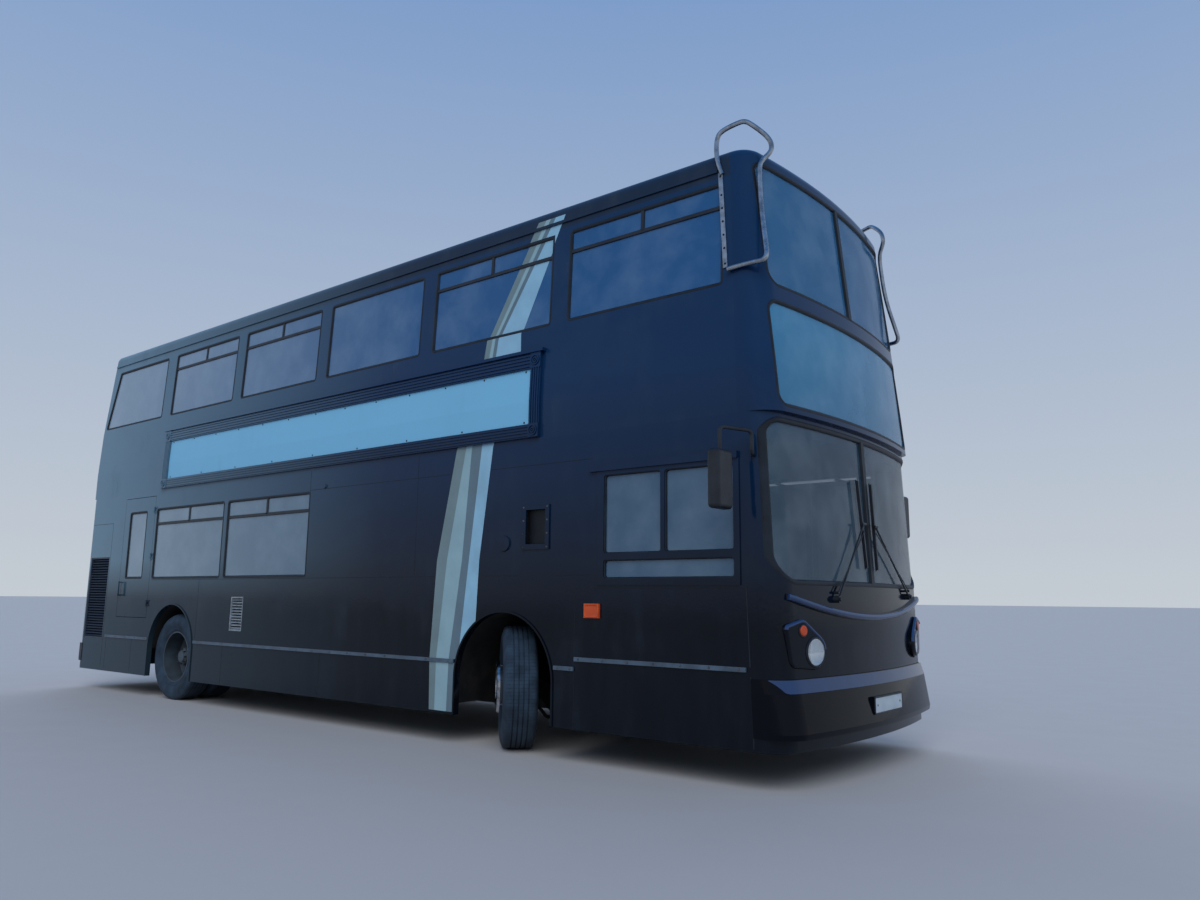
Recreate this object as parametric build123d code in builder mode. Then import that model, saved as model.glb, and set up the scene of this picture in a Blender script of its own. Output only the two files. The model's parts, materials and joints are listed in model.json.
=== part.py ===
from build123d import *
from math import asin, atan2, cos, degrees, radians, sin, sqrt
import os

os.makedirs("parts", exist_ok=True)

# A double decker bus. X runs forward, Y to the bus's left and Z up from the ground, in millimetres.
# The origin is on the ground under the middle of the body. The driver sits on the right.

# Overall sizes
rear_overhang = 2420
wheelbase = 5310
front_overhang = 2620
body_length = rear_overhang + wheelbase + front_overhang
body_width = 2550
roof_height = 4395
skirt_height = 240
deck_seam_height = 2430
bend_height = 3300
cant_height = roof_height - 215
wall = 50
corner_radius = 190
rear_corner_radius = 100
front_bow_radius = 6600
fit = 0.3
running_gap = 6

nose_x = body_length / 2
tail_x = -body_length / 2
rear_axle_x = tail_x + rear_overhang
front_axle_x = rear_axle_x + wheelbase
side_y = body_width / 2
inner_y = side_y - wall

# Body sections. Columns: height, front setback, rear setback, side setback
lower_sections = (
    (skirt_height, 75, 45, 0),
    (1320, 90, 45, 0),
    (deck_seam_height, 140, 45, 0),
)
upper_sections = (
    (deck_seam_height, 105, 15, 0),
    (2750, 135, 15, 0),
    (bend_height, 186, 15, 24),
    (cant_height, 274, 116, 63),
)
roof_sections = (
    (cant_height, 274, 116, 63),
    (roof_height, 295, 143, 72),
)
roof_edge_radius = 90
roof_skin = 45

# The front seam leans back as it climbs. The rear one leans forward above the last bend
front_seam_foot = wheelbase + 2235
front_seam_lean = 0.0372
rear_seam_inset = 150
rear_seam_lean = 0.08


def from_rear_axle(distance):
    """The place along the bus of a distance measured forward from the rear axle."""
    return rear_axle_x + distance


def seam_x(height):
    """The front seam's place along the bus at a height."""
    return from_rear_axle(front_seam_foot - front_seam_lean * height)


def plan_section(front, rear, side, inset):
    """Draw one level section of the body: flat sides, round corners and a bowed front."""
    half = side_y - side - inset
    tail = tail_x + rear + inset
    nose = nose_x - front - inset
    bow = front_bow_radius - inset
    corner = corner_radius - inset
    tail_corner = rear_corner_radius - inset
    bow_centre = nose - bow
    corner_y = half - corner
    corner_x = bow_centre + sqrt((bow - corner) ** 2 - corner_y**2)
    turn = asin(corner_y / (bow - corner))
    meet = (bow_centre + bow * cos(turn), bow * sin(turn))
    middle = (turn + radians(90)) / 2
    with BuildLine() as outline:
        Line((tail, 0), (tail, half - tail_corner))
        RadiusArc((tail, half - tail_corner), (tail + tail_corner, half), tail_corner)
        Line((tail + tail_corner, half), (corner_x, half))
        ThreePointArc(
            (corner_x, half),
            (corner_x + corner * cos(middle), corner_y + corner * sin(middle)),
            meet,
        )
        ThreePointArc(
            meet, (bow_centre + bow * cos(turn / 2), bow * sin(turn / 2)), (nose, 0)
        )
        mirror(about=Plane.XZ)
    make_face(outline.edges())


def body_form(sections, inset=0):
    """A closed form through the level sections, moved inwards by the inset."""
    with BuildPart() as form:
        for height, front, rear, side in sections:
            with BuildSketch(Plane.XY.offset(height)):
                plan_section(front, rear, side, inset)
        loft(ruled=True)
    return form.part


def skin(sections, depth, thickness):
    """The layer of the body between two depths below its surface."""
    with BuildPart() as layer:
        add(body_form(sections, depth))
        add(body_form(sections, depth + thickness), mode=Mode.SUBTRACT)
    return layer.part


def side_view_block(points):
    """A block right across the bus with the given outline in side view."""
    with BuildPart() as block:
        with BuildSketch(Plane.XZ):
            with BuildLine():
                Polyline(*points, close=True)
            make_face()
        extrude(amount=body_width, both=True)
    return block.part


reach = body_length
sky = roof_height + 1000
front_block = side_view_block(
    ((seam_x(0), 0), (nose_x + reach, 0), (nose_x + reach, sky), (seam_x(sky), sky))
)
rear_seam_x = tail_x + rear_seam_inset
rear_seam = (
    (rear_seam_x + rear_seam_lean * (sky - bend_height), sky),
    (rear_seam_x, bend_height),
    (rear_seam_x, 0),
)
rear_block = side_view_block(((tail_x - reach, 0), (tail_x - reach, sky), *rear_seam))
side_block = side_view_block(((seam_x(0), 0), (seam_x(sky), sky), *rear_seam))


def side_layer(side, sections, depth, thickness):
    """A layer of one side wall between two depths below its surface, from seam to seam."""
    outer = [(side * (side_y - setback - depth), height) for height, _, _, setback in sections]
    inner = [(y - side * thickness, height) for y, height in reversed(outer)]
    with BuildPart() as layer:
        with BuildSketch(Plane.YZ.offset(tail_x)):
            with BuildLine():
                Polyline(*outer, *inner, close=True)
            make_face()
        extrude(amount=body_length)
        add(side_block, mode=Mode.INTERSECT)
    return layer.part


def side_plane(side):
    """A drawing plane in side view, inside the wall on the left (1) or right (-1)."""
    return Plane.XZ.offset(side_y - 300 if side < 0 else -side_y - 100)


def side_panes(side, panes, radius):
    """Blocks through one side wall. Columns of a pane: start, end, sill, head."""
    with BuildPart() as blocks:
        with BuildSketch(side_plane(side)):
            for start, end, sill, head in panes:
                with Locations((from_rear_axle((start + end) / 2), (sill + head) / 2)):
                    RectangleRounded(end - start, head - sill, radius)
        extrude(amount=400)
    return blocks.part


# Upper deck side windows, between posts, the rear one with a slanted end
upper_sill = 3370
upper_head = cant_height - 50
upper_first = -510
upper_last = wheelbase + 2020
upper_post = 185
upper_kinds = ("hopper", "hopper", "plain", "hopper", "hopper")
upper_pitch = (upper_last - upper_first + upper_post) / len(upper_kinds)
upper_width = upper_pitch - upper_post
hopper_height = 165
bar = 26
pane_radius = 24
slant_foot = -rear_overhang + 163
slant_head = -rear_overhang + 367
slant_end = -740

# Lower deck windows, four equal bays, of which the offside has the rear two
lower_sill = 1375
lower_head = 2205
lower_first = -560
lower_last = wheelbase + 510
lower_post = 87
lower_pitch = (lower_last - lower_first + lower_post) / 4
lower_starts = [lower_first + n * lower_pitch for n in range(4)]
lower_bays = [(start, start + lower_pitch - lower_post, "hopper") for start in lower_starts]
offside_bays = lower_bays[:2]
front_bay = (*lower_bays[3][:2], "plain")
nearside_bays = [(-1550, lower_first - lower_post, "plain"), *lower_bays[:3], front_bay]

# Driver's side windows. Columns of a pane: start, end, sill, head
cab_panes = (
    (wheelbase + 1015, wheelbase + 1520, 1510, 2090),
    (wheelbase + 1555, wheelbase + 2105, 1510, 2090),
    (wheelbase + 1015, wheelbase + 2105, 1330, 1465),
)
glass_depth = 14
glass_thickness = 6
recess_depth = 8


def bay_panes(start, end, sill, head, kind):
    """The panes of one bay: a plain one, or a fixed one below two small opening ones."""
    if kind == "plain":
        return [(start, end, sill, head)]
    hopper_sill = head - hopper_height
    middle = (start + end) / 2
    return [
        (start, end, sill, hopper_sill - bar),
        (start, middle - bar / 2, hopper_sill, head),
        (middle + bar / 2, end, hopper_sill, head),
    ]


upper_bays = [
    (upper_first + n * upper_pitch, upper_first + n * upper_pitch + upper_width, kind)
    for n, kind in enumerate(upper_kinds)
]


def slanted_pane(side):
    """A block for the rear upper window, whose rear end follows the slanted tail."""
    with BuildPart() as block:
        with BuildSketch(side_plane(side)):
            with BuildLine():
                outline = Polyline(
                    (from_rear_axle(slant_foot), upper_sill),
                    (from_rear_axle(slant_end), upper_sill),
                    (from_rear_axle(slant_end), upper_head),
                    (from_rear_axle(slant_head), upper_head),
                    close=True,
                )
            make_face()
            fillet(vertices(), pane_radius)
        extrude(amount=400)
    return block.part


def window_blocks(side, bays, sill, head):
    panes = []
    for start, end, kind in bays:
        panes += bay_panes(start, end, sill, head, kind)
    return side_panes(side, panes, pane_radius)


def frame_blocks(side, bays, sill, head):
    return side_panes(side, [(start, end, sill, head) for start, end, kind in bays], pane_radius)


lower_shell = skin(lower_sections, 0, wall)
upper_shell = skin(upper_sections, 0, wall)
lower_glass = skin(lower_sections, glass_depth, glass_thickness)
upper_glass = skin(upper_sections, glass_depth, glass_thickness)

# Wheel arches. The front ones leave room for the steered wheels
tyre_radius = 478.5
tyre_width = 275
arch_top = 1069
front_arch_radius = 525
rear_arch_radius = 503
arch_wall = 20
wheel_box_inner_y = 540


def arch_outline(axle_x, radius, grow, foot):
    """Draw a wheel arch in side view: half a circle with straight legs down to the foot."""
    spring = arch_top - radius
    half = radius + grow
    with BuildLine() as outline:
        Line((axle_x - half, foot), (axle_x - half, spring))
        ThreePointArc((axle_x - half, spring), (axle_x, spring + half), (axle_x + half, spring))
        Line((axle_x + half, spring), (axle_x + half, foot))
        Line((axle_x + half, foot), (axle_x - half, foot))
    make_face(outline.edges())


axles = ((front_axle_x, front_arch_radius), (rear_axle_x, rear_arch_radius))


def side_cut(side, start, end, sill, head):
    """A plain block through one side wall, placed along the bus from the rear axle."""
    with BuildPart() as block:
        with BuildSketch(side_plane(side)):
            with Locations((from_rear_axle((start + end) / 2), (sill + head) / 2)):
                Rectangle(end - start, head - sill)
        extrude(amount=400)
    return block.part


# The offside emergency door and the nearside entrance
exit_rear = -1400
exit_front = -614
exit_sill = 905
exit_head = 2372
entrance_rear = wheelbase + 885
entrance_front = wheelbase + 2075
entrance_sill = 370
entrance_head = 2290
hatch_rear = wheelbase + 235
hatch_front = wheelbase + 440
hatch_sill = 1600
hatch_head = 1870

radiator_rear = -rear_overhang + 160
radiator_front = -rear_overhang + 690
radiator_sill = 630
radiator_head = 1650
vent_rear = 1248
vent_front = 1496
vent_sill = 810
vent_head = 1170


def lower_side(side, bays):
    """One side of the lower deck between the seams, with its windows and arches cut."""
    with BuildPart() as recess:
        add(side_layer(side, lower_sections, -1, recess_depth + 1))
        add(frame_blocks(side, bays, lower_sill, lower_head), mode=Mode.INTERSECT)
    with BuildPart() as panel:
        add(side_layer(side, lower_sections, 0, wall))
        add(recess.part, mode=Mode.SUBTRACT)
        add(window_blocks(side, bays, lower_sill, lower_head), mode=Mode.SUBTRACT)
        for axle_x, radius in axles:
            with BuildSketch(side_plane(side)):
                arch_outline(axle_x, radius, 0, skirt_height - 100)
            extrude(amount=400, mode=Mode.SUBTRACT)
    return panel.part


def upper_side(side):
    """One side of the upper deck between the seams, with its row of windows cut."""
    with BuildPart() as recess:
        add(side_layer(side, upper_sections, -1, recess_depth + 1))
        add(frame_blocks(side, upper_bays, upper_sill, upper_head), mode=Mode.INTERSECT)
    with BuildPart() as panel:
        add(side_layer(side, upper_sections, 0, wall))
        add(recess.part, mode=Mode.SUBTRACT)
        add(window_blocks(side, upper_bays, upper_sill, upper_head), mode=Mode.SUBTRACT)
        add(slanted_pane(side), mode=Mode.SUBTRACT)
    return panel.part


def panes_in(side, sections, blocks):
    """The glass of one side wall where the blocks cross it."""
    with BuildPart() as panes:
        add(side_layer(side, sections, glass_depth, glass_thickness))
        add(blocks, mode=Mode.INTERSECT)
    return panes.part


def side_glass(side, bays):
    """All the fixed and sliding panes of one side, lower deck and upper deck."""
    with BuildPart() as glass:
        add(panes_in(side, lower_sections, window_blocks(side, bays, lower_sill, lower_head)))
        add(panes_in(side, upper_sections, window_blocks(side, upper_bays, upper_sill, upper_head)))
        add(panes_in(side, upper_sections, slanted_pane(side)))
    return glass.part


lip_width = 16
lip_raise = 10


def arch_lips(side):
    """A thin rolled lip round each wheel arch of one side."""
    with BuildPart() as lips:
        for axle_x, radius in axles:
            with BuildSketch(Plane.XZ.offset(-side * (side_y - 1))):
                arch_outline(axle_x, radius, lip_width, skirt_height)
            extrude(amount=-side * (lip_raise + 1))
        for axle_x, radius in axles:
            with BuildSketch(side_plane(side)):
                arch_outline(axle_x, radius, 0, skirt_height - 100)
            extrude(amount=400, mode=Mode.SUBTRACT)
    return lips.part


# Raised rims on the offside: round the driver's windows, a drip rail above them, and round the hatch.
# Columns: start, end, sill, head, how far proud
cab_rim = (wheelbase + 950, wheelbase + 2150, 1281, 2120, 10)
drip_rail = (wheelbase + 885, wheelbase + 2145, 2120, 2168, 26)
hatch_rim = (hatch_rear - 44, hatch_front + 40, hatch_sill - 43, hatch_head + 36, 12)
hatch_depth = 36
cap_place = (wheelbase, 1614)
cap_radius = 65
socket_place = (2840, 2250)
socket_radius = 24


def side_rim(start, end, sill, head, proud):
    """A plate standing proud of the lower deck's right side."""
    with Locations((from_rear_axle((start + end) / 2), -side_y + 1, (sill + head) / 2)):
        Box(end - start, proud + 1, head - sill, align=(Align.CENTER, Align.MAX, Align.CENTER))


with BuildPart() as offside_lower_wall:
    add(lower_side(-1, offside_bays))
    add(arch_lips(-1))
    for rim in (cab_rim, drip_rail, hatch_rim):
        side_rim(*rim)
    for (place, height), radius in ((cap_place, cap_radius), (socket_place, socket_radius)):
        with BuildSketch(Plane.XZ.offset(side_y - 1)):
            with Locations((from_rear_axle(place), height)):
                Circle(radius)
        extrude(amount=15, taper=20)
    add(side_cut(-1, exit_rear, exit_front, exit_sill, exit_head), mode=Mode.SUBTRACT)
    with BuildSketch(Plane.XZ.offset(side_y - hatch_depth)):
        with Locations((from_rear_axle((hatch_rear + hatch_front) / 2), (hatch_sill + hatch_head) / 2)):
            Rectangle(hatch_front - hatch_rear, hatch_head - hatch_sill)
    extrude(amount=2 * hatch_depth, mode=Mode.SUBTRACT)
    add(side_cut(-1, radiator_rear, radiator_front, radiator_sill, radiator_head), mode=Mode.SUBTRACT)
    add(side_cut(-1, vent_rear, vent_front, vent_sill, vent_head), mode=Mode.SUBTRACT)
    add(side_panes(-1, cab_panes, pane_radius), mode=Mode.SUBTRACT)

with BuildPart() as nearside_lower_panel:
    add(lower_side(1, nearside_bays))
    add(arch_lips(1))
    add(side_cut(1, entrance_rear, entrance_front, entrance_sill, entrance_head), mode=Mode.SUBTRACT)

with BuildPart() as offside_upper_panel:
    add(upper_side(-1))

with BuildPart() as nearside_upper_panel:
    add(upper_side(1))

with BuildPart() as offside_glass:
    add(side_glass(-1, offside_bays))
    add(panes_in(-1, lower_sections, side_panes(-1, cab_panes, pane_radius)))

with BuildPart() as nearside_glass:
    add(side_glass(1, nearside_bays))


# Front and rear openings, half widths measured from the centre line
windscreen_half = 1245
windscreen_sill = 1300
windscreen_head = 2378
windscreen_bar = 50
destination_half = 1165
destination_sill = 2475
destination_head = 3225
upper_front_half = 1135
upper_front_sill = 3345
upper_front_head = roof_height - 125
upper_front_bar = 44
rear_exit_half = 620
rear_exit_sill = 3385
rear_exit_head = cant_height - 120
engine_lid_half = 1010
engine_lid_sill = 575
engine_lid_head = 1640


def front_view_plane():
    """A drawing plane across the bus, well behind the front."""
    return Plane.YZ.offset(nose_x - 900)


def front_pane(half, sill, head, bar_width, foot_radius, head_radius):
    """Blocks through the front for a pair of panes either side of a centre bar."""
    with BuildPart() as blocks:
        with BuildSketch(front_view_plane()):
            with BuildLine():
                Polyline(
                    (bar_width / 2, sill), (half, sill), (half, head), (bar_width / 2, head),
                    close=True,
                )
            make_face()
            outer = vertices().group_by(Axis.X)[-1].sort_by(Axis.Y)
            fillet(outer[0], foot_radius)
            outer = vertices().group_by(Axis.Y)[-1].sort_by(Axis.X)
            fillet(outer[-1], head_radius)
            mirror(about=Plane.YZ)
        extrude(amount=1000)
    return blocks.part


def wide_block(plane_x, half, sill, head, radius, depth):
    """A rounded block on the centre line, reaching forward from a plane across the bus."""
    with BuildPart() as block:
        with BuildSketch(Plane.YZ.offset(plane_x)):
            with Locations((0, (sill + head) / 2)):
                RectangleRounded(2 * half, head - sill, radius)
        extrude(amount=depth)
    return block.part


roof_form_outer = body_form(roof_sections)
with BuildPart() as roof_shell:
    add(roof_form_outer)
    fillet(faces().sort_by(Axis.Z)[-1].edges(), roof_edge_radius)
    roof_inner_sections = [
        (min(height, roof_height - roof_skin), front, rear, side)
        for height, front, rear, side in roof_sections
    ]
    add(body_form(roof_inner_sections, wall), mode=Mode.SUBTRACT)

windscreen_blocks = front_pane(
    windscreen_half, windscreen_sill, windscreen_head, windscreen_bar, 190, 100
)
upper_front_blocks = front_pane(
    upper_front_half, upper_front_sill, upper_front_head, upper_front_bar, 110, 60
)
destination_block = wide_block(
    nose_x - 900, destination_half, destination_sill, destination_head, 85, 1000
)

with BuildPart() as front_lower_wall:
    add(lower_shell)
    add(front_block, mode=Mode.INTERSECT)
    add(windscreen_blocks, mode=Mode.SUBTRACT)

with BuildPart() as front_dome:
    add(upper_shell)
    add(roof_shell.part)
    add(front_block, mode=Mode.INTERSECT)
    add(destination_block, mode=Mode.SUBTRACT)
    add(upper_front_blocks, mode=Mode.SUBTRACT)

# The roof's beads end just behind the strips on which the branch guards stand
strip_width = 36
strip_foot = 3480
strip_head = cant_height + 35
strip_x = seam_x(strip_head) - 60
strip_lean = 50
bead_foot = cant_height + 45
bead_width = 24
bead_raise = 12
bead_end = strip_x - strip_width - running_gap
with BuildPart() as roof_beads:
    for side in (-1, 1):
        add(side_layer(side, roof_sections, -bead_raise, bead_raise + 5))
    with BuildSketch(Plane.XY.offset(bead_foot)):
        with Locations((bead_end - body_length, 0)):
            Rectangle(2 * body_length, 2 * body_width)
    extrude(amount=bead_width, mode=Mode.INTERSECT)

with BuildPart() as roof:
    add(roof_shell.part)
    add(front_block, mode=Mode.SUBTRACT)
    add(roof_beads.part)

# The rear exit stands in the leaning upper rear wall and the engine lid in the lower one
lid_gap = 6
rear_exit_opening = wide_block(tail_x - 100, rear_exit_half, rear_exit_sill, rear_exit_head, 60, 500)
engine_opening = wide_block(
    tail_x - 100, engine_lid_half, engine_lid_sill, engine_lid_head, 40, 400
)

with BuildPart() as rear_upper_wall:
    add(upper_shell)
    add(rear_block, mode=Mode.INTERSECT)
    add(rear_exit_opening, mode=Mode.SUBTRACT)

with BuildPart() as rear_lower_wall:
    add(lower_shell)
    add(rear_block, mode=Mode.INTERSECT)
    add(engine_opening, mode=Mode.SUBTRACT)

front_glass_skin = skin(roof_sections, glass_depth, glass_thickness)

with BuildPart() as windscreen_panes:
    add(lower_glass)
    add(windscreen_blocks, mode=Mode.INTERSECT)

with BuildPart() as destination_glass:
    add(upper_glass)
    add(front_block, mode=Mode.INTERSECT)
    add(destination_block, mode=Mode.INTERSECT)

with BuildPart() as upper_front_panes:
    add(upper_glass)
    add(front_glass_skin)
    add(upper_front_blocks, mode=Mode.INTERSECT)

with BuildPart() as front_glass:
    add(windscreen_panes.part)
    add(upper_front_panes.part)

# Bumpers. Columns: height, front setback, rear setback, side setback
front_bumper_sections = ((325, 6, 45, -6), (360, 0, 45, -6), (600, 38, 45, -6), (690, 66, 45, -4))
rear_bumper_sections = ((335, 75, 6, -6), (380, 75, 0, -6), (555, 75, 0, -6))
with BuildPart() as bumper_bar:
    add(body_form(front_bumper_sections))
    add(body_form(((200, 75, 45, 0), (800, 75, 45, 0)), -fit), mode=Mode.SUBTRACT)
    add(front_block, mode=Mode.INTERSECT)

with BuildPart() as rear_bumper:
    add(body_form(rear_bumper_sections))
    add(body_form(((200, 75, 45, 0), (800, 75, 45, 0)), -fit), mode=Mode.SUBTRACT)
    add(rear_block, mode=Mode.INTERSECT)

# Floors. The low one runs back from the front, and the rear one climbs over the axle and the engine
floor_thickness = 40
low_floor = 370
axle_floor = 600
rear_floor_top = 900
engine_shelf = 1690
axle_step = 990
rear_step = -560
engine_bulkhead = -rear_overhang + 770
floor_front = wheelbase + 2180
upper_floor_top = 2400
upper_floor_thickness = 90
stair_foot = wheelbase - 580
stair_head = wheelbase - 2600
stair_width = 620
stair_treads = 9
stairwell_front = wheelbase - 920
low_floor_under = low_floor - floor_thickness
axle_floor_under = axle_floor - floor_thickness

interior = body_form(lower_sections, wall + fit)


def wheel_spaces(axle_x, radius, grow, foot):
    """Blocks over both wheels of an axle, reaching in from the side walls."""
    start = wheel_box_inner_y - grow
    depth = inner_y - start
    with BuildPart() as blocks:
        for offset in (start, -start - depth):
            with BuildSketch(Plane.XZ.offset(offset)):
                arch_outline(axle_x, radius, grow, foot)
            extrude(amount=depth)
    return blocks.part


def wheel_boxes(axle_x, radius, foot):
    """The boxes over both wheels of an axle, open below and at the side wall."""
    with BuildPart() as boxes:
        add(wheel_spaces(axle_x, radius, arch_wall, foot))
        add(wheel_spaces(axle_x, radius, 0, foot), mode=Mode.SUBTRACT)
        add(interior, mode=Mode.INTERSECT)
    return boxes.part


with BuildPart() as front_wheel_boxes:
    add(wheel_boxes(front_axle_x, front_arch_radius, low_floor_under))

with BuildPart() as rear_wheel_boxes:
    add(wheel_boxes(rear_axle_x, rear_arch_radius, axle_floor_under))

with BuildPart() as lower_floor:
    with BuildSketch(Plane.XY.offset(low_floor_under)):
        with Locations((from_rear_axle((axle_step + floor_front) / 2), 0)):
            Rectangle(floor_front - axle_step, 2 * inner_y)
    extrude(amount=floor_thickness)
    add(wheel_spaces(front_axle_x, front_arch_radius, arch_wall, low_floor_under), mode=Mode.SUBTRACT)
    add(interior, mode=Mode.INTERSECT)

rear_floor_profile = (
    (axle_step, axle_floor),
    (rear_step, axle_floor),
    (rear_step, rear_floor_top),
    (engine_bulkhead, rear_floor_top),
    (engine_bulkhead, engine_shelf),
    (-rear_overhang, engine_shelf),
)
with BuildPart() as rear_floor:
    with BuildSketch(Plane.XZ):
        with BuildLine():
            tops = [(from_rear_axle(x), z) for x, z in rear_floor_profile]
            unders = [(x - floor_thickness, z - floor_thickness) for x, z in tops]
            unders[-1] = (tops[-1][0], unders[-1][1])
            riser = [(unders[0][0], low_floor_under), (tops[0][0], low_floor_under)]
            Polyline(*tops, *reversed(unders), *riser, close=True)
        make_face()
    extrude(amount=inner_y, both=True)
    add(wheel_spaces(rear_axle_x, rear_arch_radius, arch_wall, axle_floor_under), mode=Mode.SUBTRACT)
    add(interior, mode=Mode.INTERSECT)

stairwell_y = inner_y - stair_width
upper_interior = body_form(
    ((upper_floor_top - upper_floor_thickness, 140, 45, 0), (upper_floor_top, 140, 45, 0)),
    wall + fit,
)
with BuildPart() as upper_floor:
    add(upper_interior)
    with BuildSketch(Plane.XY.offset(upper_floor_top - 200)):
        with Locations((from_rear_axle((stair_head + stairwell_front) / 2), -inner_y)):
            Rectangle(stairwell_front - stair_head, 2 * stair_width)
    extrude(amount=400, mode=Mode.SUBTRACT)

# The straight stair climbs towards the rear behind the cab
stair_rise = (upper_floor_top - low_floor) / stair_treads
stair_run = (stair_foot - stair_head) / (stair_treads - 1)
stair_slab = 130
with BuildPart() as staircase:
    with BuildSketch(Plane.XZ.offset(stairwell_y + fit)):
        with BuildLine():
            steps = []
            for n in range(stair_treads - 1):
                x = from_rear_axle(stair_foot - n * stair_run)
                steps.append((x, low_floor + n * stair_rise))
                steps.append((x, low_floor + (n + 1) * stair_rise))
            last = from_rear_axle(stair_head)
            steps.append((last, low_floor + (stair_treads - 1) * stair_rise))
            steps.append((last, low_floor + (stair_treads - 1) * stair_rise - stair_slab))
            steps.append((from_rear_axle(stair_foot) - stair_run, low_floor))
            Polyline(*steps, close=True)
        make_face()
    extrude(amount=stair_width - 2 * fit)

# Chassis rails drop ahead of the rear axle to pass under the low floor
rail_y = 430
rail_width = 75
rail_top_low = low_floor_under
rail_top_high = axle_floor_under
rail_depth = 85
rail_front = wheelbase + 2030
rail_rear = -rear_overhang + 180
rear_members = (rail_rear + 130, -1410, -510, 690, 1790)
front_members = (-2320, -1120, -620, 780, 1880)
cross_members = (*rear_members, *[wheelbase + place for place in front_members])
with BuildPart() as chassis_frame:
    for y in (-rail_y, rail_y):
        with BuildSketch(Plane.XZ.offset(-y - rail_width / 2)):
            with BuildLine():
                drop = axle_step - floor_thickness
                points = (
                    (rail_front, rail_top_low), (drop, rail_top_low), (drop, rail_top_high),
                    (rail_rear, rail_top_high), (rail_rear, rail_top_high - rail_depth),
                    (drop - rail_depth, rail_top_high - rail_depth),
                    (drop - rail_depth, rail_top_low - rail_depth),
                    (rail_front, rail_top_low - rail_depth),
                )
                Polyline(*[(from_rear_axle(x), z) for x, z in points], close=True)
            make_face()
        extrude(amount=rail_width)
    for place in cross_members:
        top = rail_top_low if place > axle_step - floor_thickness else rail_top_high
        with Locations((from_rear_axle(place), 0, top - rail_depth / 2)):
            Box(70, 2 * rail_y, rail_depth - 20)

engine_size = (560, 1350, 980)
engine_place = -rear_overhang + 400
with BuildPart() as engine:
    with Locations((from_rear_axle(engine_place), 0, rail_top_high + fit + engine_size[2] / 2)):
        Box(*engine_size)
    fillet(edges().filter_by(Axis.Z), 40)

# Wheels and axles
axle_height = tyre_radius
kingpin_y = 940
front_wheel_y = 1040
steer_angle = 43
twin_spacing = 310
outer_twin_y = 1082
inner_twin_y = outer_twin_y - twin_spacing
rim_radius = 286
rim_flange_radius = 300
rim_width = 210
spindle_radius = 45
kingpin_radius = 20


def tyre_ring():
    """Revolve one tyre about the wheel's axle line."""
    half = tyre_width / 2
    with BuildPart() as ring:
        with BuildSketch(Plane.XY):
            with BuildLine():
                Polyline(
                    (rim_radius, -half + 35), (rim_radius + 25, -half + 18),
                    (rim_radius + 90, -half), (tyre_radius - 60, -half + 4),
                    (tyre_radius - 12, -half + 22), (tyre_radius, -half + 45),
                    (tyre_radius, half - 45), (tyre_radius - 12, half - 22),
                    (tyre_radius - 60, half - 4), (rim_radius + 90, half),
                    (rim_radius + 25, half - 18), (rim_radius, half - 35),
                    close=True,
                )
            make_face()
        revolve(axis=Axis.Y)
    return ring.part


def turned_about_y(points):
    """Revolve a closed profile of radius and distance along the axle line."""
    with BuildPart() as body:
        with BuildSketch(Plane.XY):
            with BuildLine():
                Polyline(*points, close=True)
            make_face()
        revolve(axis=Axis.Y)
    return body.part


hand_holes = 8
bore = spindle_radius + fit
seat = rim_radius - fit
barrel = rim_radius - 14

# Front wheel, its disc bulging outwards. Columns: radius, distance outwards from the tyre's middle
front_wheel_profile = (
    (barrel, -105), (seat, -105), (seat, 105), (barrel, 105), (barrel, 44), (232, 50),
    (205, 66), (130, 66), (128, 128), (112, 145), (0, 145), (0, 125), (bore, 125), (bore, -20),
    (112, -20), (112, 52), (200, 52), (228, 34), (barrel, 28),
)
# Twin rear wheels, back to back about the middle plane between their tyres
rear_wheel_profile = (
    (0, 190), (70, 190), (95, 175), (115, 120), (115, 14), (185, 14), (225, 24), (262, 60),
    (barrel, 70), (barrel, 260), (seat, 260), (seat, 50), (240, 6), (240, -6), (seat, -50),
    (seat, -260), (barrel, -260), (barrel, -70), (262, -60), (225, -24), (185, -14), (110, -14),
    (110, -90), (bore, -90), (bore, 170), (0, 170),
)


def pierced(wheel, circle, hole_radius):
    """Cut a ring of hand holes through a wheel's disc."""
    with BuildPart() as body:
        add(wheel)
        with BuildSketch(Plane.XZ.offset(-200)):
            with PolarLocations(circle, hand_holes):
                Circle(hole_radius)
        extrude(amount=400, mode=Mode.SUBTRACT)
    return body.part


plain_tyre = tyre_ring()
front_wheel = pierced(turned_about_y(front_wheel_profile), 168, 16)
rear_wheel = pierced(turned_about_y(rear_wheel_profile), 205, 22)
facing_right = Location((0, 0, 0), (0, 0, 180))


def on_axle(wheel, axle_x, y):
    """Put a wheel made about the origin on its axle line, its outside facing outwards."""
    facing = wheel if y > 0 else wheel.moved(facing_right)
    return facing.moved(Location((axle_x, y, axle_height)))


def steered(piece, side):
    """Turn a piece about its kingpin to the angle at which the bus is parked."""
    pivot = Axis((front_axle_x, side * kingpin_y, 0), (0, 0, 1))
    return piece.rotate(pivot, -steer_angle)


twin_y = (outer_twin_y + inner_twin_y) / 2
wheel_parts = {}
for name, side in (("right", -1), ("left", 1)):
    y = side * front_wheel_y
    wheel_parts["front_" + name + "_rim"] = steered(on_axle(front_wheel, front_axle_x, y), side)
    wheel_parts["front_" + name + "_tyre"] = steered(on_axle(plain_tyre, front_axle_x, y), side)
    wheel_parts["rear_" + name + "_rims"] = on_axle(rear_wheel, rear_axle_x, side * twin_y)
    with BuildPart() as twin_tyres:
        add(on_axle(plain_tyre, rear_axle_x, side * outer_twin_y))
        add(on_axle(plain_tyre, rear_axle_x, side * inner_twin_y))
    wheel_parts["rear_" + name + "_tyres"] = twin_tyres.part

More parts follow.
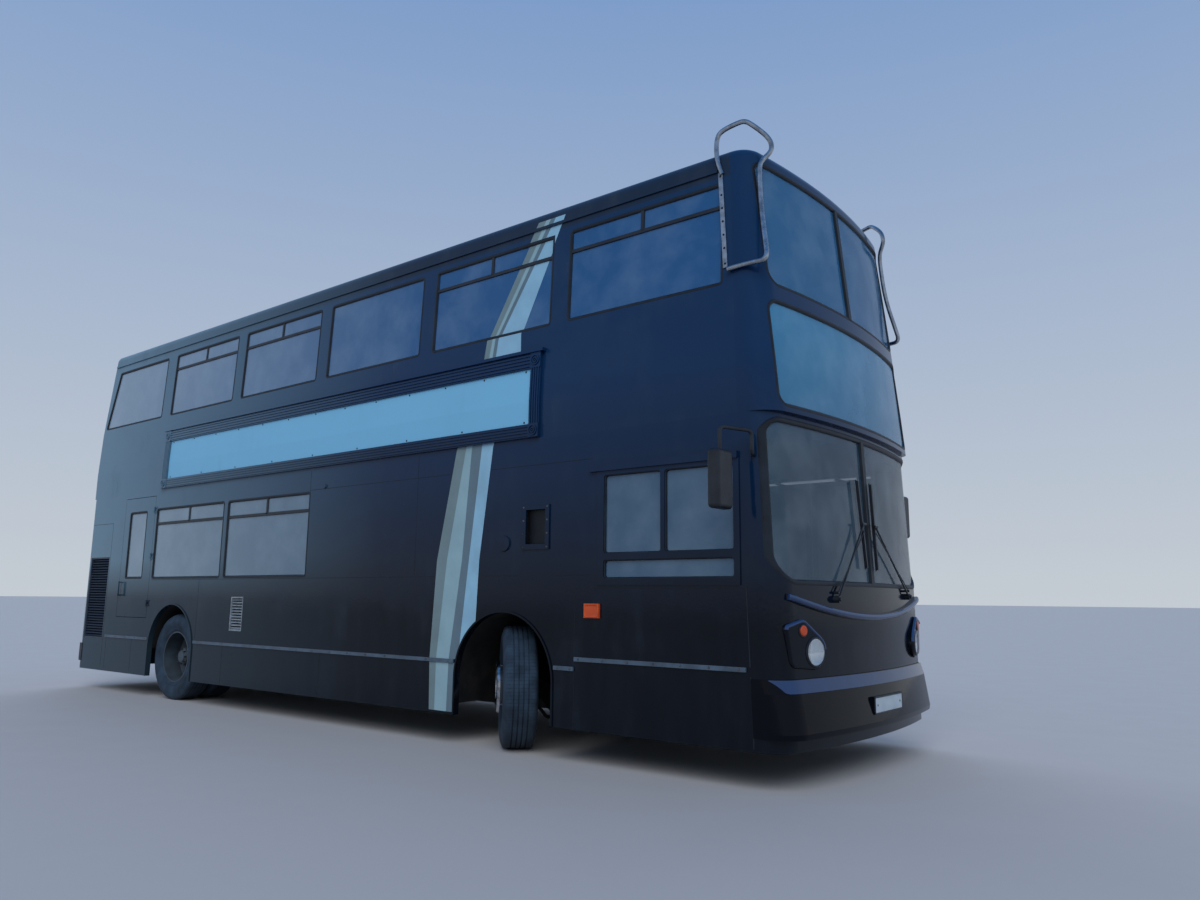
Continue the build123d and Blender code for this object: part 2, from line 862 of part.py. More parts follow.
# Front axle beam, cranked up to the kingpins, and its knuckles
beam_foot = 150
beam_depth = 85
beam_width = 90
boss_radius = 42
boss_foot = 420
boss_head = 540
ear_thickness = 30
arm_length = 120
track_eye_height = 290
track_pin_radius = 9
with BuildPart() as front_axle:
    with BuildSketch(Plane.YZ.offset(front_axle_x - beam_width / 2)):
        with BuildLine():
            half_beam = (
                (0, beam_foot), (kingpin_y - 400, beam_foot), (kingpin_y - 150, boss_foot - 10),
                (kingpin_y, boss_foot), (kingpin_y, boss_head), (kingpin_y - 70, boss_head),
                (kingpin_y - 180, boss_head - 50), (kingpin_y - 440, beam_foot + beam_depth),
                (0, beam_foot + beam_depth),
            )
            Polyline(*half_beam, *[(-y, z) for y, z in reversed(half_beam)][1:-1], close=True)
        make_face()
    extrude(amount=beam_width)
    with Locations([(front_axle_x, side * kingpin_y, (boss_foot + boss_head) / 2) for side in (-1, 1)]):
        Cylinder(boss_radius + 6, boss_head - boss_foot)
    for side in (-1, 1):
        with Locations((front_axle_x, side * (kingpin_y + boss_radius + 40), axle_height)):
            Box(200, 80, 400, mode=Mode.SUBTRACT)
    with Locations([(front_axle_x, side * rail_y, beam_foot + beam_depth) for side in (-1, 1)]):
        Cylinder(36, rail_top_low - rail_depth - beam_foot - beam_depth,
                 align=(Align.CENTER, Align.CENTER, Align.MIN))
    with Locations([(front_axle_x, side * kingpin_y, axle_height) for side in (-1, 1)]):
        Cylinder(kingpin_radius + fit, 400, mode=Mode.SUBTRACT)


def knuckle(side):
    """A steering knuckle: two ears on a kingpin, the spindle outwards and the arm behind."""
    ear_foot = boss_foot - running_gap - ear_thickness
    ear_head = boss_head + running_gap
    with BuildPart() as body:
        with Locations((front_axle_x, side * kingpin_y, ear_foot)):
            Cylinder(kingpin_radius, ear_head + ear_thickness - ear_foot,
                     align=(Align.CENTER, Align.CENTER, Align.MIN))
        for height in (ear_foot, ear_head):
            with Locations((front_axle_x, side * kingpin_y, height)):
                Cylinder(40, ear_thickness, align=(Align.CENTER, Align.CENTER, Align.MIN))
            with Locations((front_axle_x, side * (kingpin_y + 35), height + ear_thickness / 2)):
                Box(76, 70, ear_thickness)
        with Locations((front_axle_x, side * (kingpin_y + 64), (ear_foot + ear_head + ear_thickness) / 2)):
            Box(76, 20, ear_head + ear_thickness - ear_foot)
        with BuildSketch(Plane.XZ.offset(-side * (kingpin_y + 60))):
            with Locations((front_axle_x, axle_height)):
                Circle(spindle_radius)
        extrude(amount=-side * (front_wheel_y - kingpin_y + 60))
        with Locations((front_axle_x - arm_length / 2, side * kingpin_y, ear_foot + 13)):
            Box(arm_length, 40, 26)
        with Locations((front_axle_x - arm_length, side * kingpin_y, track_eye_height - 16)):
            Cylinder(track_pin_radius, ear_foot + 26 - track_eye_height + 16,
                     align=(Align.CENTER, Align.CENTER, Align.MIN))
            Cylinder(20, 3, align=(Align.CENTER, Align.CENTER, Align.MAX))
        with Locations((front_axle_x - arm_length, side * kingpin_y, ear_foot)):
            Cylinder(20, 26, align=(Align.CENTER, Align.CENTER, Align.MIN))
    return body.part


wheel_parts["front_right_knuckle"] = steered(knuckle(-1), -1)
wheel_parts["front_left_knuckle"] = steered(knuckle(1), 1)

# The cranked track rod joins the two arms behind the beam and drops below the rails
rod_radius = 14
rod_low = 200
rod_back = arm_length * cos(radians(steer_angle))
rod_shift = arm_length * sin(radians(steer_angle))
with BuildPart() as track_rod:
    rod_x = front_axle_x - rod_back
    with BuildLine() as rod_path:
        FilletPolyline(
            (rod_x, rod_shift - kingpin_y + 18, track_eye_height),
            (rod_x, rod_shift - kingpin_y + 130, track_eye_height),
            (rod_x, rod_shift - kingpin_y + 230, rod_low),
            (rod_x, rod_shift + kingpin_y - 230, rod_low),
            (rod_x, rod_shift + kingpin_y - 130, track_eye_height),
            (rod_x, rod_shift + kingpin_y - 18, track_eye_height),
            radius=60,
        )
    with BuildSketch(Plane(origin=rod_path.line @ 0, z_dir=rod_path.line % 0)):
        Circle(rod_radius)
    sweep(path=rod_path.wires()[0])
    with Locations([(rod_x, rod_shift + side * kingpin_y, track_eye_height) for side in (-1, 1)]):
        Cylinder(22, 26)
        Cylinder(track_pin_radius + fit, 60, mode=Mode.SUBTRACT)

# Rear axle: a drop-centre housing with raised hubs and a spring seat under each rail
housing_height = 330
with BuildPart() as rear_axle:
    with BuildSketch(Plane.XZ.offset(-640)):
        with Locations((rear_axle_x, housing_height)):
            Circle(62)
    extrude(amount=1280)
    with Locations((rear_axle_x, 120, housing_height)):
        Sphere(140)
    for side in (-1, 1):
        with Locations((rear_axle_x, side * 630, (housing_height + axle_height) / 2)):
            Box(150, 70, axle_height - housing_height + 150)
        with BuildSketch(Plane.XZ.offset(-side * 640)):
            with Locations((rear_axle_x, axle_height)):
                Circle(spindle_radius)
        extrude(amount=-side * (twin_y + 160 - 640))
        with Locations((rear_axle_x, side * rail_y, housing_height)):
            Cylinder(58, rail_top_high - rail_depth - housing_height,
                     align=(Align.CENTER, Align.CENTER, Align.MIN))

# Hinges. A frame half and a leaf half, in the hinge's own frame: X towards the leaf, Y outwards
barrel_lift = 14
barrel_radius = 11
barrel_pin = 5
barrel_half = 15
hinge_plate = 45


def hinge(plane, spots):
    """The frame halves and the leaf halves of a row of hinges along the plane's Z."""
    fixed_spots = []
    for spot in spots:
        shift = 2 * barrel_half + running_gap - 7
        fixed_spots += [spot - shift, spot + shift]
    with BuildPart() as frame_half:
        for spot in fixed_spots:
            with Locations(Location((0, barrel_lift, spot))):
                Cylinder(barrel_radius, 16)
            with Locations(Location((-hinge_plate / 2, 4, spot))):
                Box(hinge_plate, 8, 16)
        for spot in spots:
            with Locations(Location((0, barrel_lift, spot))):
                Cylinder(barrel_pin, 2 * (2 * barrel_half + running_gap + 1))
    with BuildPart() as leaf_half:
        for spot in spots:
            with Locations(Location((0, barrel_lift, spot))):
                Cylinder(barrel_radius, 2 * barrel_half)
            with Locations(Location((hinge_plate / 2, 4, spot))):
                Box(hinge_plate, 8, 2 * barrel_half)
            with Locations(Location((0, barrel_lift, spot))):
                Cylinder(barrel_pin + fit, 3 * barrel_half, mode=Mode.SUBTRACT)
    return plane * frame_half.part, plane * leaf_half.part


def rear_face_x(sections, height):
    """The rear wall's outer face at a height."""
    for (low, _, start, _), (high, _, end, _) in zip(sections, sections[1:]):
        if low <= height <= high:
            return tail_x + start + (end - start) * (height - low) / (high - low)


exit_hinge = Plane(
    origin=(from_rear_axle(exit_front), -side_y, 0), x_dir=(-1, 0, 0), z_dir=(0, 0, 1)
)
exit_frame_hinges, exit_leaf_hinges = hinge(exit_hinge, (1080, 1640, 2200))
lid_hinge = Plane(
    origin=(rear_face_x(lower_sections, engine_lid_head), 0, engine_lid_head),
    x_dir=(0, 0, -1), z_dir=(0, 1, 0),
)
lid_frame_hinges, lid_leaf_hinges = hinge(lid_hinge, (-700, 700))
lean_run = upper_sections[-1][2] - upper_sections[-2][2]
rear_lean = degrees(atan2(lean_run, cant_height - bend_height))
rear_exit_x = rear_face_x(upper_sections, rear_exit_head)
rear_exit_hinge = Plane(
    origin=(rear_exit_x, 0, rear_exit_head),
    x_dir=(-sin(radians(rear_lean)), 0, -cos(radians(rear_lean))), z_dir=(0, 1, 0),
)
rear_exit_frame_hinges, rear_exit_leaf_hinges = hinge(rear_exit_hinge, (-430, 430))

exit_glass = (exit_rear + 150, exit_front - 205, 1380, 2190)
handle_clear = 40
handle_height = 1250
handle_length = 180
handle_end = 78
with BuildPart() as emergency_door:
    add(side_layer(-1, lower_sections, 0, wall))
    add(
        side_cut(-1, exit_rear + running_gap, exit_front - running_gap,
                 exit_sill + running_gap, exit_head - running_gap),
        mode=Mode.INTERSECT,
    )
    add(side_cut(-1, *exit_glass), mode=Mode.SUBTRACT)
    add(exit_leaf_hinges)
    with Locations((from_rear_axle(exit_rear + 80), -side_y - handle_clear, handle_height)):
        Box(24, 16, handle_length)
    for end in (-1, 1):
        with Locations((from_rear_axle(exit_rear + 80), -side_y + 10, handle_height + end * handle_end)):
            Box(24, handle_clear + 20, 18, align=(Align.CENTER, Align.MAX, Align.CENTER))

with BuildPart() as emergency_door_glass:
    add(panes_in(-1, lower_sections, side_cut(-1, *exit_glass)))

with BuildPart() as offside_lower_panel:
    add(offside_lower_wall.part)
    add(exit_frame_hinges)

lid_slot_rows = 10
lid_slot_y = 430
lid_slot_length = 640
lid_slot_width = 18
lid_slot_pitch = 62
lid_slot_foot = 780
with BuildPart() as engine_lid:
    add(lower_shell)
    add(
        wide_block(tail_x - 100, engine_lid_half - running_gap, engine_lid_sill + running_gap,
                   engine_lid_head - running_gap, 40, 400),
        mode=Mode.INTERSECT,
    )
    for y in (-lid_slot_y, lid_slot_y):
        for n in range(lid_slot_rows):
            with BuildSketch(Plane.YZ.offset(tail_x - 100)):
                with Locations((y, lid_slot_foot + n * lid_slot_pitch)):
                    SlotOverall(lid_slot_length, lid_slot_width)
            extrude(amount=400, mode=Mode.SUBTRACT)
    add(lid_leaf_hinges)

with BuildPart() as rear_lower_panel:
    add(rear_lower_wall.part)
    add(lid_frame_hinges)

rear_glass_skin = skin(upper_sections, 0, 10)
with BuildPart() as rear_exit:
    add(rear_glass_skin)
    add(
        wide_block(tail_x - 100, rear_exit_half - running_gap, rear_exit_sill + running_gap,
                   rear_exit_head - running_gap, 60, 500),
        mode=Mode.INTERSECT,
    )
    add(rear_exit_leaf_hinges)

with BuildPart() as rear_upper_panel:
    add(rear_upper_wall.part)
    add(rear_exit_frame_hinges)

# Entrance: each leaf hangs from a pillar by arms above and below it, and turns as it glides in
leaf_thickness = 36
leaf_outer_y = side_y - 10
leaf_y = leaf_outer_y - leaf_thickness / 2
jamb_gap = 14
meeting_gap = 12
leaf_half = (entrance_front - entrance_rear - meeting_gap - 2 * jamb_gap) / 4
pillar_y = 1165
pillar_radius = 20
pillar_reach = 45
swing_arm = leaf_half + pillar_reach
leaf_sill = 410
leaf_head = 2262
leaf_stile = 48
leaf_pin = 10
bracket_thickness = 6
swing_arm_thickness = 12
pillar_top = upper_floor_top - upper_floor_thickness - 2
leaf_centres = {
    "rear": from_rear_axle(entrance_rear) + jamb_gap + leaf_half,
    "front": from_rear_axle(entrance_front) - jamb_gap - leaf_half,
}


def entrance_leaf(centre):
    """One door leaf: a slim frame round tall glass, with a bracket at its top and foot."""
    with BuildPart() as leaf:
        with Locations((centre, leaf_y, (leaf_sill + leaf_head) / 2)):
            Box(2 * leaf_half, leaf_thickness, leaf_head - leaf_sill)
            Box(2 * (leaf_half - leaf_stile), 2 * leaf_thickness,
                leaf_head - leaf_sill - 2 * leaf_stile, mode=Mode.SUBTRACT)
        for height in (leaf_sill - bracket_thickness / 2, leaf_head + bracket_thickness / 2):
            with Locations((centre, (leaf_y + pillar_y) / 2, height)):
                Box(60, leaf_y - pillar_y + 18, bracket_thickness)
            with Locations((centre, pillar_y, height)):
                Cylinder(28, bracket_thickness)
                Cylinder(leaf_pin + fit, 3 * bracket_thickness, mode=Mode.SUBTRACT)
    return leaf.part


def entrance_leaf_glass(centre):
    with BuildPart() as glass:
        with Locations((centre, leaf_y, (leaf_sill + leaf_head) / 2)):
            Box(2 * (leaf_half - leaf_stile), glass_thickness, leaf_head - leaf_sill - 2 * leaf_stile)
    return glass.part


def entrance_arms(centre, toward):
    """The pillar at the jamb with an arm over and an arm under the leaf."""
    pillar_x = centre + toward * swing_arm
    low = leaf_sill - bracket_thickness - running_gap - swing_arm_thickness / 2
    high = leaf_head + bracket_thickness + running_gap + swing_arm_thickness / 2
    with BuildPart() as arms:
        with Locations((pillar_x, pillar_y, low_floor + fit)):
            Cylinder(pillar_radius, pillar_top - low_floor - 2 * fit,
                     align=(Align.CENTER, Align.CENTER, Align.MIN))
        for height, inward in ((low, 1), (high, -1)):
            with Locations(((pillar_x + centre) / 2, pillar_y, height)):
                Box(swing_arm, 34, swing_arm_thickness)
            with Locations((centre, pillar_y, height)):
                Cylinder(26, swing_arm_thickness)
            with Locations((centre, pillar_y, height + inward * 10)):
                Cylinder(leaf_pin, 26)
    return arms.part


entrance_parts = {}
for name, toward in (("rear", -1), ("front", 1)):
    centre = leaf_centres[name]
    entrance_parts["entrance_" + name + "_leaf"] = entrance_leaf(centre)
    entrance_parts["entrance_" + name + "_glass"] = entrance_leaf_glass(centre)
    entrance_parts["entrance_" + name + "_arms"] = entrance_arms(centre, toward)

# Advertising panel in its raised frame on the offside, between the decks
panel_rear = -360
panel_front = wheelbase + 250
panel_sill = 2560
panel_head = 3020
frame_rear = -487
frame_front = wheelbase + 360
frame_sill = 2450
frame_head = 3150
frame_raise = 24
panel_raise = 10
cornice_raise = 46
cornice_height = 26


def raised(height, blocks):
    """A layer standing proud of the upper deck's right side, cut to the blocks' outline."""
    with BuildPart() as layer:
        add(side_layer(-1, upper_sections, -height, height - fit))
        add(blocks, mode=Mode.INTERSECT)
    return layer.part


with BuildPart() as frame_block:
    add(side_cut(-1, frame_rear, frame_front, frame_sill, frame_head))
    add(side_cut(-1, panel_rear, panel_front, panel_sill, panel_head), mode=Mode.SUBTRACT)

# Reeds run along the frame between square corner blocks, each bearing rings. Rings: radius out, in
reeds = 4
reed_raise = 8
block_raise = 10
ring_raise = 18
rings = ((44, 35), (24, 15), (6, 0))
frame_corners = [
    (start, end, sill, head)
    for start, end in ((frame_rear, panel_rear), (panel_front, frame_front))
    for sill, head in ((frame_sill, panel_sill), (panel_head, frame_head))
]


def reed_rows(start, end):
    """The places of the reeds across a member, as starts and ends."""
    pitch = (end - start) / (reeds + 0.5)
    return [(start + pitch * (n + 0.5), start + pitch * (n + 1)) for n in range(reeds)]


with BuildPart() as reed_blocks:
    for sill, head in ((frame_sill, panel_sill), (panel_head, frame_head)):
        for low, high in reed_rows(sill, head):
            add(side_cut(-1, panel_rear, panel_front, low, high))
    for start, end in ((frame_rear, panel_rear), (panel_front, frame_front)):
        for low, high in reed_rows(start, end):
            add(side_cut(-1, low, high, panel_sill, panel_head))

with BuildPart() as corner_blocks:
    for corner in frame_corners:
        add(side_cut(-1, *corner))

with BuildPart() as ring_blocks:
    with BuildSketch(side_plane(-1)):
        for start, end, sill, head in frame_corners:
            with Locations((from_rear_axle((start + end) / 2), (sill + head) / 2)):
                for outer, inner in rings:
                    Circle(outer)
                    if inner:
                        Circle(inner, mode=Mode.SUBTRACT)
    extrude(amount=400)

with BuildPart() as panel_frame:
    add(raised(frame_raise, frame_block.part))
    add(raised(frame_raise + reed_raise, reed_blocks.part))
    add(raised(frame_raise + block_raise, corner_blocks.part))
    add(raised(frame_raise + ring_raise, ring_blocks.part))
    add(raised(
        cornice_raise,
        side_cut(-1, frame_rear - 30, frame_front + 30, frame_head, frame_head + cornice_height),
    ))

with BuildPart() as blank_panel:
    add(raised(
        panel_raise,
        side_cut(-1, panel_rear + 1, panel_front - 1, panel_sill + 1, panel_head - 1),
    ))

# Louvres. Columns: start, end, sill, head, number of slats
louvre_fields = (
    (radiator_rear, radiator_front, radiator_sill, radiator_head, 30),
    (vent_rear, vent_front, vent_sill, vent_head, 11),
)
with BuildPart() as side_louvres:
    for start, end, sill, head, count in louvre_fields:
        middle = from_rear_axle((start + end) / 2)
        with Locations((middle, -side_y + 22, (sill + head) / 2)):
            Box(end - start - 2 * fit, 36, head - sill - 2 * fit)
            Box(end - start - 36, 40, head - sill - 36, mode=Mode.SUBTRACT)
        pitch = (head - sill - 36) / count
        for n in range(count):
            with Locations(Location((middle, -side_y + 22, sill + 18 + pitch * (n + 0.5)), (35, 0, 0))):
                Box(end - start - 36 + 2, 30, 5)

# Rails along the skirt. Columns: start, end, foot
nearside_rails = ((-1633, -526, 652), (543, wheelbase - 548, 652))
offside_rails = (
    *nearside_rails, (wheelbase + 548, wheelbase + 740, 657), (wheelbase + 748, wheelbase + 2180, 728)
)
rail_height = 30
rail_raise = 12
with BuildPart() as side_trim:
    for side, rails in ((-1, offside_rails), (1, nearside_rails)):
        for start, end, foot in rails:
            with Locations((
                from_rear_axle((start + end) / 2), side * (side_y + fit + rail_raise / 2),
                foot + rail_height / 2,
            )):
                Box(end - start, rail_raise, rail_height)


def front_face_x(sections, y, height):
    """The front's outer face at a place across the bus and a height."""
    for (low, start, _, side_a), (high, end, _, side_b) in zip(sections, sections[1:]):
        if low <= height <= high:
            share = (height - low) / (high - low)
            nose = nose_x - start - (end - start) * share
            half = side_y - side_a - (side_b - side_a) * share
    bow_centre = nose - front_bow_radius
    corner_y = half - corner_radius
    corner_x = bow_centre + sqrt((front_bow_radius - corner_radius) ** 2 - corner_y**2)
    if abs(y) <= corner_y * front_bow_radius / (front_bow_radius - corner_radius):
        return bow_centre + sqrt(front_bow_radius**2 - y**2)
    return corner_x + sqrt(corner_radius**2 - (abs(y) - corner_y) ** 2)


# Lamps. Each front corner has a pod with a headlamp and a turn lamp, facing a little outwards
headlamp_y = 930
headlamp_height = 855
headlamp_radius = 88
turn_lamp_y = 1052
turn_lamp_height = 992
turn_lamp_radius = 36
tail_lamp_y = 1130
tail_lamp_heights = (720, 850, 980)
tail_lamp_radius = 52
lamp_depth = 20
pod_turn = 12
pod_raise = 26
pod_edge = 18
pod_x = front_face_x(lower_sections, headlamp_y, headlamp_height) + pod_raise
pod_plane = Plane(
    origin=(pod_x, -headlamp_y, headlamp_height),
    x_dir=(sin(radians(pod_turn)), cos(radians(pod_turn)), 0),
    z_dir=(cos(radians(pod_turn)), -sin(radians(pod_turn)), 0),
)
pod_axis = Axis(pod_plane.origin, pod_plane.z_dir)
turn_lamp_place = ((headlamp_y - turn_lamp_y) / cos(radians(pod_turn)), turn_lamp_height - headlamp_height)
# Circles that the pod's outline wraps. Columns: across and up from the headlamp, radius
pod_rounds = (
    (0, 0, headlamp_radius + 26), (*turn_lamp_place, turn_lamp_radius + 34), (-262, 150, 26),
    (-190, -40, 60),
)


def lamp_on_pod(place, radius, proud):
    with BuildPart() as lamp:
        with BuildSketch(pod_plane.offset(-lamp_depth)):
            with Locations(place):
                Circle(radius)
        extrude(amount=lamp_depth + proud)
        fillet(lamp.faces().sort_by(pod_axis)[-1].edges(), proud - 2)
    return lamp.part


def both_sides(piece):
    """A piece and its mirror image on the other side of the bus."""
    with BuildPart() as pair:
        add(piece)
        add(piece.mirror(Plane.XZ))
    return pair.part


headlamp_place = (0, 0)
with BuildPart() as headlamps:
    add(both_sides(lamp_on_pod(headlamp_place, headlamp_radius, 16)))

side_marker = (wheelbase + 842, wheelbase + 982, 1044, 1148)
nearside_marker = (wheelbase + 710, wheelbase + 850, 1044, 1148)
with BuildPart() as turn_lamps:
    add(both_sides(lamp_on_pod(turn_lamp_place, turn_lamp_radius, 14)))
    for side, (start, end, sill, head) in ((-1, side_marker), (1, nearside_marker)):
        with Locations((from_rear_axle((start + end) / 2), side * (side_y + fit + 9), (sill + head) / 2)):
            Box(end - start, 18, head - sill)

with BuildPart() as tail_lamps:
    for side in (-1, 1):
        with BuildSketch(Plane.YZ.offset(tail_x + 45 - fit)):
            with Locations([(side * tail_lamp_y, height) for height in tail_lamp_heights]):
                Circle(tail_lamp_radius)
        extrude(amount=-18)

with BuildPart() as pod:
    with BuildSketch(pod_plane):
        with BuildLine():
            for across, up, radius in pod_rounds:
                CenterArc((across, up), radius, 0, 360)
        make_hull()
    extrude(amount=-260)
    fillet(pod.faces().sort_by(pod_axis)[-1].edges(), pod_edge)
    add(body_form(lower_sections, wall / 2), mode=Mode.SUBTRACT)
    with BuildSketch(pod_plane.offset(-lamp_depth)):
        with Locations(headlamp_place):
            Circle(headlamp_radius + fit)
        with Locations(turn_lamp_place):
            Circle(turn_lamp_radius + fit)
    extrude(amount=200, mode=Mode.SUBTRACT)

# The brow, a ledge that dips across the front below the windscreen. Heights: at its ends, at its middle
brow_half = 1170
brow_top = (1228, 1094)
brow_foot = (1188, 1046)
brow_raise = 24
with BuildPart() as brow:
    with BuildSketch(front_view_plane()):
        with BuildLine() as brow_outline:
            ThreePointArc((-brow_half, brow_top[0]), (0, brow_top[1]), (brow_half, brow_top[0]))
            Line((brow_half, brow_top[0]), (brow_half, brow_foot[0]))
            ThreePointArc((brow_half, brow_foot[0]), (0, brow_foot[1]), (-brow_half, brow_foot[0]))
            Line((-brow_half, brow_foot[0]), (-brow_half, brow_top[0]))
        make_face()
    extrude(amount=1000)
    add(body_form(lower_sections, -brow_raise), mode=Mode.INTERSECT)
    add(body_form(lower_sections, wall / 2), mode=Mode.SUBTRACT)

with BuildPart() as front_lower_panel:
    add(front_lower_wall.part)
    with BuildSketch(pod_plane.offset(-lamp_depth)):
        with Locations(headlamp_place):
            Circle(headlamp_radius + fit)
        with Locations(turn_lamp_place):
            Circle(turn_lamp_radius + fit)
    bores = extrude(amount=200, mode=Mode.SUBTRACT)
    add(bores.mirror(Plane.XZ), mode=Mode.SUBTRACT)
    add(both_sides(pod.part))
    add(brow.part)

# A flat pad on the front bumper takes the number plate on two screws
pad_width = 530
pad_depth = 122
pad_height = 470
pad_face_x = nose_x - 8
pad_thickness = 50
plate_screw_spacing = 420
plate_screw_radius = 3
plate_screw_depth = 30
with BuildPart() as front_bumper:
    add(bumper_bar.part)
    with Locations((pad_face_x, 0, pad_height)):
        Box(pad_thickness, pad_width, pad_depth, align=(Align.MAX, Align.CENTER, Align.CENTER))
    with BuildSketch(Plane.YZ.offset(pad_face_x)):
        with Locations((-plate_screw_spacing / 2, pad_height), (plate_screw_spacing / 2, pad_height)):
            Circle(plate_screw_radius)
    extrude(amount=-plate_screw_depth, mode=Mode.SUBTRACT)

# Mirrors on hooped tubes at the front corners
mirror_x = wheelbase + 2190
mirror_y = 1590
mirror_size = (90, 190, 380)
mirror_height = 1940
mirror_tube = 13
with BuildPart() as offside_mirror:
    with Locations((from_rear_axle(mirror_x), -mirror_y, mirror_height)):
        Box(*mirror_size)
    fillet(edges(), 28)
    with BuildLine() as hoop:
        FilletPolyline(
            (from_rear_axle(mirror_x + 60), -side_y + 20, 2130),
            (from_rear_axle(mirror_x + 90), -side_y - 60, 2130),
            (from_rear_axle(mirror_x + 90), -side_y - 60, 2280),
            (from_rear_axle(mirror_x), -mirror_y, 2280),
            (from_rear_axle(mirror_x), -mirror_y, mirror_height + 150),
            radius=35,
        )
    with BuildSketch(Plane(origin=hoop.line @ 0, z_dir=hoop.line % 0)):
        Circle(mirror_tube)
    sweep(path=hoop.wires()[0])
    add(body_form(lower_sections, -fit), mode=Mode.SUBTRACT)

with BuildPart() as mirrors:
    add(offside_mirror.part)
    add(offside_mirror.part.mirror(Plane.XZ))

# Branch guards: a bent tube round each upper front corner, ending on a strip along the side
guard_tube = 16
guard_bend = 70
guard_x = from_rear_axle(wheelbase + 2020)
with BuildPart() as right_guard:
    add(raised(
        8,
        side_view_block((
            (strip_x - strip_width, strip_head), (strip_x, strip_head),
            (strip_x + strip_lean, strip_foot), (strip_x + strip_lean - strip_width, strip_foot),
        )),
    ))
    with BuildLine() as bend:
        FilletPolyline(
            (strip_x + 20, -side_y + 26, strip_foot + 20),
            (guard_x + 355, -side_y + 20, strip_foot + 20),
            (guard_x + 345, -side_y + 52, cant_height - 30),
            (guard_x + 415, -side_y + 56, cant_height + 100),
            (guard_x + 365, -side_y + 60, cant_height + 250),
            (guard_x + 180, -side_y + 60, cant_height + 345),
            (guard_x - 10, -side_y + 60, cant_height + 280),
            (strip_x - 18, -side_y + 62, cant_height + 80),
            (strip_x - 18, -side_y + 70, strip_head - 30),
            radius=guard_bend,
        )
    with BuildSketch(Plane(origin=bend.line @ 0, z_dir=bend.line % 0)):
        Circle(guard_tube)
    sweep(path=bend.wires()[0])
    add(body_form(upper_sections, -fit), mode=Mode.SUBTRACT)
    add(body_form(roof_sections, -fit), mode=Mode.SUBTRACT)

with BuildPart() as branch_guards:
    add(right_guard.part)
    add(right_guard.part.mirror(Plane.XZ))

# Cab: a raised platform, a half wall behind the driver and the fascia across the front
cab_rear = wheelbase + 900
cab_wall = 30
cab_inner_y = 400
cab_floor = 570
cab_wall_top = 2280
cab_window_sill = 1350
cab_pier = 60
fascia_rear = wheelbase + 1960
fascia_left_y = 440
fascia_top = 1250
cab_outer_y = inner_y - fit
with BuildPart() as cab_form:
    with Locations((from_rear_axle(cab_rear), -cab_outer_y, low_floor)):
        Box(fascia_rear - cab_rear + 100, cab_outer_y - cab_inner_y, cab_floor - low_floor,
            align=(Align.MIN, Align.MIN, Align.MIN))
        Box(cab_wall, cab_outer_y - cab_inner_y, cab_wall_top - low_floor,
            align=(Align.MIN, Align.MIN, Align.MIN))
    with Locations((from_rear_axle(cab_rear), -(cab_outer_y + cab_inner_y) / 2, cab_window_sill)):
        Box(3 * cab_wall, cab_outer_y - cab_inner_y - 2 * cab_pier, cab_wall_top - cab_window_sill - cab_pier,
            align=(Align.CENTER, Align.CENTER, Align.MIN), mode=Mode.SUBTRACT)
    with BuildSketch(Plane.XZ.offset(-fascia_left_y)):
        with BuildLine():
            Polyline(
                (from_rear_axle(fascia_rear + 90), low_floor), (from_rear_axle(fascia_rear), 880),
                (from_rear_axle(fascia_rear + 20), 960), (from_rear_axle(fascia_rear + 170), 1130),
                (from_rear_axle(fascia_rear + 230), fascia_top), (nose_x, fascia_top),
                (nose_x, low_floor), close=True,
            )
        make_face()
    extrude(amount=fascia_left_y + cab_outer_y)
    add(interior, mode=Mode.INTERSECT)

# Steering wheel, leaning back from level, on a column out of the fascia
steering_x = from_rear_axle(wheelbase + 1740)
steering_y = -750
steering_height = 1330
steering_tilt = 25
steering_radius = 232
steering_tube = 14
steering_hub = 36
steering_shaft = 12
shaft_length = 60
column_gap = 6
column_radius = 32
steering_plane = Plane(
    origin=(steering_x, steering_y, steering_height),
    x_dir=(cos(radians(steering_tilt)), 0, sin(radians(steering_tilt))),
    z_dir=(-sin(radians(steering_tilt)), 0, cos(radians(steering_tilt))),
)
with BuildPart() as wheel_form:
    Torus(steering_radius, steering_tube)
    Cylinder(48, steering_hub)
    Cylinder(steering_shaft, steering_hub / 2 + shaft_length, align=(Align.CENTER, Align.CENTER, Align.MAX))
    for turn in (90, 210, 330):
        with Locations(Location((0, 0, 0), (0, 0, turn))):
            Box(steering_radius, 34, 12, align=(Align.MIN, Align.CENTER, Align.CENTER))
with BuildPart() as steering_wheel:
    add(steering_plane * wheel_form.part)

column_length = 480
with BuildPart() as cab:
    add(cab_form.part)
    with BuildSketch(steering_plane.offset(-steering_hub / 2 - column_gap)):
        Circle(column_radius)
    extrude(amount=-column_length)
    with BuildSketch(steering_plane.offset(-steering_hub / 2 - column_gap)):
        Circle(steering_shaft + fit)
    extrude(amount=-shaft_length, mode=Mode.SUBTRACT)

# Driver's seat on its pedestal
seat_x = from_rear_axle(wheelbase + 1230)
seat_width = 480
with BuildPart() as driver_seat:
    with BuildSketch(Plane.XZ.offset(-steering_y - seat_width / 2)):
        with BuildLine():
            Polyline(
                (seat_x - 190, 900), (seat_x + 250, 925), (seat_x + 250, 1020), (seat_x - 110, 1010),
                (seat_x - 210, 1660), (seat_x - 290, 1645), close=True,
            )
        make_face()
    extrude(amount=seat_width)
    fillet(edges().filter_by(Axis.Y), 30)
    with Locations((seat_x + 20, steering_y, cab_floor)):
        Cylinder(130, 360, align=(Align.CENTER, Align.CENTER, Align.MIN))

